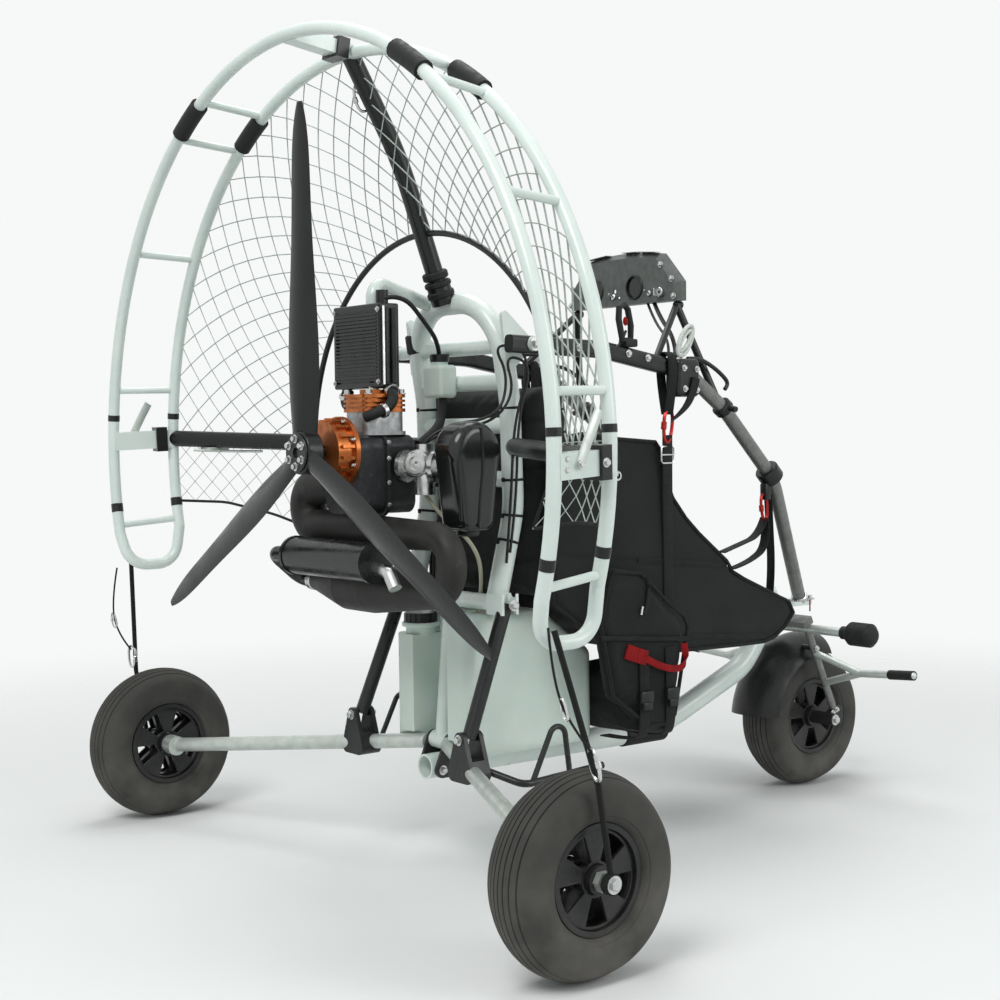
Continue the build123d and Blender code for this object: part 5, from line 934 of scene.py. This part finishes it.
for hub, body, centre in WHEELS:
    bm = bmesh.new()
    for side in SIDES:
        wheel_face(bm, centre, side)
    bmesh.ops.recalc_face_normals(bm, faces=bm.faces)
    sharp = [edge for edge in bm.edges if edge.calc_face_angle(0.0) > 1.0]
    bmesh.ops.bevel(bm, geom=sharp, offset=0.0009, segments=2, profile=0.5, affect="EDGES", material=-1)
    made(hub + "_wheel_faces", bm, "black_plastic", body)
    bm = bmesh.new()
    side = -1 if hub == "rear_right" else 1
    tube(bm, [centre + Vector((0.0, 0.022 * side, z)) for z in (0.079, 0.066)], 0.007, sides=10)
    tube(bm, [centre + Vector((0.0, 0.022 * side, z)) for z in (0.066, 0.056)], 0.0086, sides=6)
    made(hub + "_valve", bm, "grip_rubber", body)
bm = bmesh.new()
for side in SIDES:
    bolt(bm, spot(0, 800.8 * side, HUB_Z), (0, side, 0), 0.020, 0.007, 1.45)
made("spindle_nuts", bm, "steel")
print("wheels dressed:", len(WHEELS))

# %% [markdown]
# The cage comes apart for transport. Black foam sleeves sit on the hoops between the paired rungs, tape marks the
# feet, and each arm socket has a flat lever and a toggle latch. Sleeves follow the hoop, so they are pulled along
# its arc.

# %% Cage fittings
HOOPS = {
    # hoop: x, middle z, radius
    "rear": (-79.0, 821.0, 764.5),
    "front": (54.0, 827.0, 740.0),
}
ARM_TOP, ARM_FOOT = Vector((178, 0, 1383)), Vector((279, 0, 1108))


def on_hoop(which, angle):
    """Place on the middle line of a hoop, in degrees from the left."""
    x, z, radius = HOOPS[which]
    turn = radians(angle + CAGE_TURN)
    return spot(x, radius * cos(turn), z + radius * sin(turn))


def hoop_sleeve(bm, which, first, last, diameter):
    """Round sleeve along part of a hoop."""
    steps = max(3, int(abs(last - first) * 1.5))
    route = [on_hoop(which, first + (last - first) * n / steps) for n in range(steps + 1)]
    pulled(bm, round_outline(diameter, 14), frames_along(route, (1, 0, 0)))


foam = bmesh.new()
tape = bmesh.new()
for which in HOOPS:
    for first, last in ((56.0, 63.0), (117.0, 124.0)):
        hoop_sleeve(foam, which, first, last, 0.036)
    for first, last in ((-11.8, -10.4), (190.4, 191.8), (3.4, 4.4), (175.6, 176.6)):
        hoop_sleeve(tape, which, first, last, 0.0258)
made("hoop_foam", foam, "grip_rubber")
made("hoop_tape", tape, "black_plastic")

levers = bmesh.new()
pins = bmesh.new()
for side, z in ((1, 843.0), (-1, 804.0)):
    webbing(levers, spots((-36, 771.5, z - 4), (-24, 771.5, z + 26), (8, 768, z + 82), side=side), 0.017, 0.005,
            (1, 0, -0.6))
    for x, y, rise in ((-36, 776, 0), (-62, 772.5, -8), (-62, 772.5, 9)):
        bolt(pins, spot(x, y * side, z + rise), (0, side, 0), 0.009, 0.004)
    slab(levers, spot(86, 648 * side - 24, z - 24), spot(134, 648 * side + 24, z - 17), 0.0015)
    tube(levers, spots((70, 672, z - 23), (110, 640, z - 27), (158, 520, z - 27), side=side), 0.006, sides=8)
made("cage_levers", levers, "silver_tube")
for angle in (0.0, 90.0, 180.0):
    middle = on_hoop("rear", angle).lerp(on_hoop("front", angle), 0.775)
    turn = radians(angle + CAGE_TURN)
    outward = Vector((0, cos(turn), sin(turn)))
    bolt(pins, middle + outward * 0.0192, outward, 0.010, 0.006)
made("cage_pins", pins, "steel")
bm = bmesh.new()
for share, outer, length in ((0.80, 0.026, 0.016), (0.86, 0.027, 0.012), (0.93, 0.0275, 0.014)):
    collared(bm, spot(*ARM_TOP.lerp(ARM_FOOT, share)), ARM_FOOT - ARM_TOP, outer, 0.0175, length, 0.003)
made("top_boot_rings", bm, "grip_rubber")
bm = bmesh.new()
carabiner(bm, spot(92, 2, 1492), (0.4, 0, -1), (0.2, 1, 0), 0.05, 0.03)
made("top_ring", bm, "steel")
print("cage fittings made")

# %% [markdown]
# An engine shows its hoses and cables. They are round outlines pulled along smooth routes from port to port,
# and the thick hoses have a steel clamp near each end.

# %% Engine hoses and cables
HOSES = [
    # finish, diameter, points
    ("grip_rubber", 0.024, [(123, 112, 938), (122, 124, 918), (118, 96, 902), (112, 44, 912)]),
    ("grip_rubber", 0.021, [(123, -28, 940), (118, -60, 926), (100, -66, 902), (74, -60, 892), (62, -40, 884)]),
    ("grip_rubber", 0.019, [(288, 20, 924), (272, 2, 886), (226, -44, 856), (176, -52, 830)]),
    ("grip_rubber", 0.009, [(123, -20, 1112), (150, -44, 1120), (220, -20, 1066), (276, 18, 1034),
                            (288, 30, 1004)]),
    ("black_plastic", 0.0068, [(112, 0, 966), (130, 18, 1000), (196, 60, 966), (214, 70, 860), (176, 30, 800)]),
    ("black_plastic", 0.0055, [(152, -105, 834), (176, -128, 868), (284, -168, 880), (308, -168, 960),
                               (266, -172, 1022), (336, -188, 1012), (340, -180, 950), (318, -168, 860),
                               (312, -166, 720), (300, -164, 600)]),
    ("black_plastic", 0.0055, [(160, -98, 834), (186, -116, 856), (276, -160, 870), (322, -170, 930),
                               (290, -176, 1002), (350, -190, 984), (326, -172, 880), (322, -170, 720),
                               (306, -168, 620)]),
    ("black_plastic", 0.0055, [(340, -176, 1000), (420, -236, 1004), (520, -237, 992), (560, -226, 1050)]),
]
rubber_like = {"grip_rubber": bmesh.new(), "black_plastic": bmesh.new()}
for look, diameter, points in HOSES:
    tube(rubber_like[look], spots(*points), diameter, sides=12, steps=8)
made("engine_hoses", rubber_like["grip_rubber"], "grip_rubber")
made("engine_cables", rubber_like["black_plastic"], "black_plastic")
bm = bmesh.new()
route = spots((300, -70, 496), (296, -96, 560), (236, -150, 640), (168, -122, 700), (152, -105, 738))
tube(bm, route, 0.008, steps=8)
made("fuel_line", bm, "fuel_hose")
HOSE_CLAMPS = [
    # place, axis
    ((122, 119, 925), (0, 0.5, -1)), ((113, 54, 910), (0, 1, 0.1)),
    ((121, -44, 934), (0.1, 1, 0.4)), ((88, -63, 896), (1, 0.1, 0.3)),
]
bm = bmesh.new()
for place, axis in HOSE_CLAMPS:
    collared(bm, spot(*place), axis, 0.0142, 0.0105, 0.009, 0.0008, 20)
made("hose_clamps", bm, "steel")
print("hoses and cables:", len(HOSES) + 1)

# %% [markdown]
# Bolts stand in rings on the gearbox flange and the starter, in rows along the crankcase and at the corners of
# the cylinder head. Small round castings follow: the spark plug with its cap and the carburettor's cover.

# %% Engine bolts, spark plug and carburettor cover
bm = bmesh.new()
bolt_circle(bm, 24.8, SHAFT_Z, 62.2, 8, pi / 8, -1, 0.007, 0.005, 1.3)
for x in (72, 148):
    for y in (-38, 38):
        bolt(bm, spot(x, y, 928), (0, 0, 1), 0.011, 0.008)
for z in (718, 760, 806, 836):
    for y in (-64, 64):
        bolt(bm, spot(98, y, z), (0, y, 0), 0.007, 0.004, 1.3)
bolt_circle(bm, 176, 775, 21, 5, 0.0, 1, 0.005, 0.003)
for y in (-42, 42):
    bolt(bm, spot(333, y, 760), (1, 0, 0), 0.012, 0.008)
made("engine_bolts", bm, "steel")
bm = bmesh.new()
tube(bm, spots((110, 0, 936), (110, 0, 944)), 0.021, sides=6)
tube(bm, spots((110, 0, 944), (111, 0, 956)), 0.012, sides=12)
made("spark_plug", bm, "steel")
bm = bmesh.new()
tube(bm, spots((111, 0, 950), (112, 0, 968)), 0.017, sides=12)
collared(bm, spot(111, 0, 953), (0, 0, 1), 0.0098, 0.006, 0.006, 0.001, 16)
made("plug_cap", bm, "grip_rubber")
bm = bmesh.new()
facing = Vector((-0.85, -0.53, 0))
bowl = spot(133, -108, 796)
collared(bm, bowl, facing, 0.026, 0.004, 0.012, 0.002, 32)
collared(bm, bowl + facing * 0.008, facing, 0.022, 0.013, 0.006, 0.002, 32)
for n in range(4):
    turn = pi / 2 * n + 0.6
    place = towards(bowl + facing * 0.006, facing) @ Vector((0.021 * cos(turn), 0.021 * sin(turn), 0))
    bolt(bm, place, facing, 0.005, 0.003, 1.2)
made("carburettor_cover", bm, "steel")
print("engine bolted")

# %% [markdown]
# The exhaust is held by collars and by two springs, which are thin wire pulled along a helix. The airbox shell is
# closed by two raised seams. The radiator has corner bolts, a bright strip and a stack of slats.

# %% Exhaust, airbox and radiator trim
bm = bmesh.new()
tube(bm, spots((33, -112, 603), (33, -150, 603), (33, -166, 584), (33, -176, 570)), 0.0252, sides=18)
collared(bm, spot(100, 214, 556), (0, 1, 0), 0.0205, 0.0152, 0.016, 0.002, 24)
collared(bm, spot(100, 70, 748), (0, 1, 0), 0.031, 0.0235, 0.012, 0.002, 24)
made("exhaust_collars", bm, "steel")
bm = bmesh.new()
for x, z in ((88, 770), (112, 770)):
    turns = [2 * pi * n / 8 for n in range(88)]
    coil = [spot(x + 4 * cos(turn), 66 + 0.42 * n, z + 4 * sin(turn)) for n, turn in enumerate(turns)]
    pulled(bm, round_outline(0.0016, 6), frames_along(coil))
made("exhaust_springs", bm, "steel")
bm = bmesh.new()
tube(bm, spots((188, -226.4, 676), (190, -226.4, 720), (202, -226.4, 800), (196, -226.4, 862)), 0.006, sides=8)
tube(bm, spots((150, -222, 690), (146, -224, 760), (142, -222, 810), (160, -222, 852)), 0.006, sides=8)
collared(bm, spot(192, -186, 666), (0, 0, 1), 0.022, 0.012, 0.014, 0.003)
collared(bm, spot(288, 30, 1002), (0, 0, 1), 0.0196, 0.004, 0.016, 0.002)
made("airbox_seams", bm, "black_plastic")
bm = bmesh.new()
for y in (-31, 122):
    for z in (952, 1090):
        bolt(bm, spot(100, y, z), (-1, 0, 0), 0.007, 0.003)
slab(bm, spot(101, -46.2, 946), spot(106, -44.6, 1096), 0.0006, 1)
made("radiator_bolts", bm, "steel")
bm = bmesh.new()
for z in [958 + 6.7 * n for n in range(20)]:
    slab(bm, spot(98.6, -26, z), spot(100.4, 118, z + 2.6), 0.0003, 1)
made("radiator_slats", bm, "black_paint")
print("engine dressed")

# %% [markdown]
# The frame is held by plain hexagon bolts wherever a plate, clevis or clamp meets a tube. Cables are tied to both
# uprights, the left one has a rubber sleeve at its head, and the keel wears a sleeve under the bag.

# %% Frame fasteners, ties and sleeves
FRAME_BOLTS = [
    # x, y, z on the left, head across, head height
    (238, 31.4, 185, 0.013, 0.008), (308, 31.4, 185, 0.013, 0.008), (262, 31.4, 238, 0.013, 0.008),
    (288.6, 199, 522, 0.015, 0.009), (317, 239, 1019, 0.018, 0.009),
    (704, 242.3, 978, 0.009, 0.005), (740, 242.3, 976, 0.009, 0.005),
    (740, 242.3, 934, 0.009, 0.005), (706, 242.3, 936, 0.009, 0.005),
    (430, 233.2, 1014, 0.010, 0.005), (560, 233.2, 1005, 0.010, 0.005), (612, 233.2, 997, 0.010, 0.005),
]
bm = bmesh.new()
side_bolts(bm, FRAME_BOLTS)
for side in SIDES:
    bolt(bm, spot(288.6, 151 * side, 522), (0, -side, 0), 0.013, 0.006)
    for x, facing in ((165, -1), (212, 1)):
        bolt(bm, spot(x, 185 * side, 276), (facing, 0, 0), 0.014, 0.008)
made("frame_bolts", bm, "steel")
bm = bmesh.new()
for side in SIDES:
    for x, z, lean in ((321, 640, 0.28), (334, 690, 0.1), (337, 760, -0.03), (334, 900, -0.05)):
        collared(bm, spot(x, 140 * side, z), (lean, 0, 1), 0.0228, 0.0209, 0.005, 0.0006, 24)
        slab(bm, spot(x - 26, 140 * side - 3, z - 4), spot(x - 20, 140 * side + 3, z + 4), 0.001, 1)
collared(bm, spot(313, 140, 1036), (-0.166, 0, 1), 0.0245, 0.0209, 0.040, 0.003)
collared(bm, spot(800, 0, 190), (1, 0, 0), 0.0285, 0.0249, 0.124, 0.003, 32)
made("frame_ties", bm, "grip_rubber")
bm = bmesh.new()
collared(bm, spot(270, 83, 464), (0, 0, 1), 0.0385, 0.0298, 0.009, 0.002, 36)
tube(bm, spots((470, -126, 300), (470, -133, 300)), 0.016, sides=6)
made("filler_ring", bm, "tank_plastic")
print("frame dressed")

# %% [markdown]
# A webbing loop hangs over each arm, with a red carabiner in it. From there a strap runs down the seat side, with
# a buckle near its top. Clamp rings grip the front stays, and a second carabiner waits at the lower one for the
# leg strap. White rope loops stand on both arms, and the throttle grip with its red button is clipped to the
# right one.

# %% Hang straps, clamps and carabiners
STRAP_THICK = 0.003
HANG_STRAPS = [
    # width, direction of the width, points on the left
    (0.024, (1, 0, 0), [(677, 224, 884), (677, 238, 950), (677, 238, 1003), (677, 220, 1012), (677, 202, 1003),
                        (677, 202, 950), (677, 216, 884)]),
    (0.020, (1, 0, 0.4), [(735, 246, 958), (728, 246, 930), (704, 240, 890), (684, 226, 872)]),
    (0.027, (1, 0, 0), [(676, 221, 842), (680, 216, 760), (686, 210, 660), (689, 208, 560), (689, 208, 470)]),
    (0.024, (0, 1, 0), [(978, 206, 660), (962, 204, 622), (900, 205, 606), (850, 203, 592)]),
    (0.024, (0, 1, 0), [(978, 206, 660), (988, 206, 600), (930, 205, 566), (880, 203, 556)]),
    (0.022, (0, 1, 0), [(1006, 190, 728), (1046, 158, 640), (1072, 140, 540), (1076, 130, 482)]),
]
HANDLE = [(735, 220, 998), (764, 220, 1001), (806, 222, 984), (846, 222, 958), (852, 222, 944), (842, 222, 936)]
straps = bmesh.new()
red_rings = bmesh.new()
steel_rings = bmesh.new()
clamps = bmesh.new()
for side in SIDES:
    for width, lie, points in HANG_STRAPS:
        webbing(straps, spots(*points, side=side), width, STRAP_THICK, lie)
    carabiner(red_rings, spot(678, 221 * side, 860), (0.1, 0, 1), (0.25, side, 0), 0.066, 0.036, 0.0075)
    carabiner(red_rings, spot(978, 206 * side, 682), (-0.1, 0, 1), (0.3, side, 0), 0.058, 0.032, 0.0068)
    buckle(steel_rings, spot(678, 219 * side, 802), (0, 0, 1), (0.05, side, 0), 0.036, 0.034)
    collared(clamps, spot(838, 220 * side, 897.5), (105, 0, -74), 0.0215, 0.0153, 0.020, 0.003)
    tube(clamps, spots((838, 238, 897), (838, 258, 893), side=side), 0.013, sides=8)
    collared(clamps, spot(996, 204.5 * side, 754), (168, -17 * side, -152), 0.0265, 0.0153, 0.034, 0.004)
    lug, reach = spot(984, 204.5 * side, 716), Vector((0.009, 0.009, 0.018))
    slab(clamps, lug - reach, lug + reach, 0.003)
    tube(clamps, spots(*HANDLE, side=side), 0.009)
made("hang_straps", straps, "strap")
made("hang_carabiners", red_rings, "red_metal")
made("strap_buckles", steel_rings, "steel")
made("stay_clamps", clamps, "black_plastic")
bm = bmesh.new()
for side in SIDES:
    for half_width, half_height, lean in ((0.017, 0.036, 0.5), (0.009, 0.027, 0.66)):
        turns = [2 * pi * n / 16 for n in range(16)]
        shape = [(half_width * cos(turn), half_height * sin(turn)) for turn in turns]
        flat_ring(bm, spot(724, 226 * side, 1034), (lean, 0, 0.84), (0.2, side, 0.1), shape, 0.0085)
made("rope_loops", bm, "white_rope")
bm = bmesh.new()
shape = [(0.021, -0.030), (0.023, 0.012), (0.014, 0.034), (-0.006, 0.038), (-0.020, 0.026), (-0.022, -0.008),
         (-0.012, -0.034)]
flat_ring(bm, spot(556, -228, 1064), (-0.2, 0, 1), (0.35, -1, 0), shape, 0.013, sides=10)
slab(bm, spot(548, -240, 1018), spot(580, -216, 1034), 0.003)
made("throttle_grip", bm, "grip_rubber")
bm = bmesh.new()
button = Matrix.Translation(spot(548, -238, 1068)) @ Matrix.Diagonal((0.006, 0.004, 0.009, 1))
bmesh.ops.create_uvsphere(bm, u_segments=14, v_segments=8, radius=1.0, matrix=button)
made("throttle_button", bm, "red_web")
print("straps and clamps made")

# %% [markdown]
# The rear stays are straps from the hoop feet to the spindles, joined by steel carabiners, with a thin safety
# cord beside each.

# %% Cage stay carabiners and safety cords
bm = bmesh.new()
cords = bmesh.new()
for side in SIDES:
    carabiner(bm, spot(-32, 795 * side, 352), (-0.1, -0.25 * side, 1), (1, 0.2 * side, 0.1), 0.05, 0.028)
    route = spots((-84, 752, 560), (-92, 772, 470), (-62, 792, 400), (-34, 796, 368), side=side)
    tube(cords, route, 0.004, sides=8)
    carabiner(bm, spot(-80, 782 * side, 440), (0.2, 0.1 * side, -1), (1, 0.2 * side, 0.1), 0.034, 0.018, 0.004)
made("stay_carabiners", bm, "steel")
made("safety_cords", cords, "strap")
print("stay fittings made")

# %% [markdown]
# The dash holds two round gauges in its wells, a key switch, two toggles and bolts at its cut-off corners, and
# its top edge is bent over in three bright lips. The gauges face the seat, towards the rear.

# %% Dash
bm = bmesh.new()
glass = bmesh.new()
for y in (81.9, -44.1):
    collared(bm, spot(752, y, 1158), (1, 0, 0), 0.0268, 0.0225, 0.006, 0.0015, 32)
    bmesh.ops.create_cone(glass, cap_ends=True, segments=32, radius1=0.0226, radius2=0.0222, depth=0.003,
                          matrix=towards(spot(755, y, 1158), (-1, 0, 0)))
made("gauge_bezels", bm, "black_plastic")
made("gauge_glasses", glass, "gauge_glass")
bm = bmesh.new()
for points in ([(757, -8, 1234.6), (757, -52, 1233.0)], [(757, -58, 1232.6), (757, -112, 1227.4)],
               [(757, 40, 1233.4), (757, 108, 1228.0)]):
    webbing(bm, spots(*points), 0.017, 0.0018, (1, 0, 0))
for side in SIDES:
    for y, z in ((126, 1200), (158, 1168), (164, 1132)):
        bolt(bm, spot(752, y * side, z), (-1, 0, 0), 0.009, 0.004)
collared(bm, spot(748, -128, 1142), (1, 0, 0), 0.010, 0.004, 0.009, 0.001, 20)
slab(bm, spot(728, -129, 1134), spot(745, -127, 1150), 0.0008, 1)
for y in (-92, 20):
    collared(bm, spot(750, y, 1142), (1, 0, 0), 0.006, 0.002, 0.005, 0.001, 12)
    tube(bm, spots((750, y, 1142), (736, y, 1148)), 0.004, sides=8)
made("dash_metal", bm, "steel")
bm = bmesh.new()
tube(bm, spots((766, -90, 1124), (752, -120, 1092), (730, -190, 1040), (700, -222, 1002)), 0.009, sides=10)
tube(bm, spots((766, -70, 1124), (748, -110, 1080), (716, -188, 1036), (680, -222, 1004)), 0.006, sides=8)
made("dash_wiring", bm, "black_plastic")
print("dash dressed")

# %% [markdown]
# Piping runs round each seat panel and round the bag's pouch, which hides the cut edge and catches a thin line of
# light. Hem tapes cover the seams. The bag has two straps with buckles, a red handle and a small metal pull, and
# the side panel has an eyelet.

# %% Seat trim and bag straps
BAG_STRAPS_X = (588, 660)


def drawn_in(outline, inset):
    """Corners of a clockwise outline, moved inwards."""
    points = [Vector(point) for point in outline]
    moved = []
    for before, point, after in zip(points[-1:] + points[:-1], points, points[1:] + points[:1]):
        sides = [(b - a).normalized() for a, b in ((before, point), (point, after))]
        inwards = sum((Vector((side.y, -side.x)) for side in sides), Vector((0, 0))).normalized()
        moved.append(point + inwards * inset)
    return moved


bm = bmesh.new()
for side in SIDES:
    route = [spot(x, 203.5 * side, z) for x, z in drawn_in(SIDE_OUTLINE, 6.5)]
    looped(bm, route, round_outline(0.008, 8), Vector((0, 1, 0)))
    for points in ([(606, 588), (700, 581), (790, 571), (856, 564)], [(740, 422), (860, 412), (985, 401)]):
        webbing(bm, [spot(x, 204.5 * side, z) for x, z in points], 0.012, 0.004, (0, 0, 1))
route = [spot(x, -236, z) for x, z in drawn_in(POUCH_OUTLINE, 11)]
looped(bm, route, round_outline(0.008, 8), Vector((0, 1, 0)))
for points in ([(476, -240, 446), (560, -241, 438), (640, -241, 430), (712, -240, 424)],
               [(600, -240, 560), (606, -241, 520), (590, -241, 486)]):
    webbing(bm, spots(*points), 0.009, 0.004, (0, 0, 1))
for x in BAG_STRAPS_X:
    route = spots((x, -240, 412), (x, -243, 330), (x, -241, 250), (x, -222, 226), (x, -120, 224))
    webbing(bm, route, 0.026, STRAP_THICK, (1, 0, 0))
made("seat_piping", bm, "strap")
bm = bmesh.new()
for x in BAG_STRAPS_X:
    slab(bm, spot(x - 17, -252, 306), spot(x + 17, -243, 330), 0.003)
    slab(bm, spot(x - 12, -254, 292), spot(x + 12, -244, 308), 0.003)
made("bag_buckles", bm, "black_plastic")
bm = bmesh.new()
webbing(bm, spots((540, -241, 414), (566, -244, 404), (592, -244, 396)), 0.03, 0.004, (0.3, 0, 1))
loop = spots((588, -245, 396), (630, -252, 372), (684, -252, 366), (702, -246, 386), (698, -242, 416))
webbing(bm, loop, 0.014, 0.0035, (0.2, 0, 1))
made("bag_handle", bm, "red_web")
bm = bmesh.new()
collared(bm, spot(551, -207.5, 762), (0, 1, 0), 0.0105, 0.006, 0.004, 0.0012, 24)
tube(bm, spots((584, -242, 500), (578, -244, 484)), 0.005, sides=8)
made("seat_eyelets", bm, "steel")
print("seat trimmed")

# %% [markdown]
# At the front each stay ends in a bracket on the yoke. The foot bar has rubber ends, the pegs have ridges for the
# boots, and the fork is bolted at the axle. What is on the fork turns with it.

# %% Front end
FORK_BOLTS = [
    # x, y, z on the left, head across, head height
    (1340, 97.2, 186, 0.009, 0.005), (1326, 97.2, 180, 0.009, 0.005), (1321, 109.2, 165, 0.017, 0.008),
    (1268.2, 99, 338, 0.009, 0.005), (1277, 99, 318, 0.008, 0.005), (1306, 99, 255, 0.008, 0.005),
]
bm = bmesh.new()
for side in SIDES:
    low, high = sorted((82 * side, 114 * side))
    slab(bm, spot(1186, low, 455.4), spot(1246, high, 459), 0.0012)
    collared(bm, spot(1203, 105 * side, 464), (0.57, -0.33 * side, -0.75), 0.0185, 0.0153, 0.016, 0.002, 24)
    for x in (1236, 1194):
        bolt(bm, spot(x, 108 * side, 459), (0, 0, 1), 0.010, 0.006)
made("stay_brackets", bm, "steel")
bm = bmesh.new()
slab(bm, spot(1222, -121, 430), spot(1224, -117, 458), 0.0008, 1)
made("bracket_tag", bm, "red_web")
bm = bmesh.new()
for side in SIDES:
    for n in range(8):
        collared(bm, spot(1246.6, (224 + 7.2 * n) * side, 385.7), (0, 1, 0), 0.0272, 0.024, 0.0034, 0.001, 24)
    tube(bm, spots((1283.6, 300, 297.0), (1276.2, 371, 303.4), side=side), 0.022, sides=14)
made("peg_ridges", bm, "grip_rubber", "fork")
bm = bmesh.new()
side_bolts(bm, FORK_BOLTS)
made("fork_bolts", bm, "steel", "fork")
print("front end dressed")

# %% [markdown]
# Fabric may stand a little proud of the hard model, but the trike must not grow. The last cell only says that
# the scene is done.

# %% End of the scene
print("scene done")
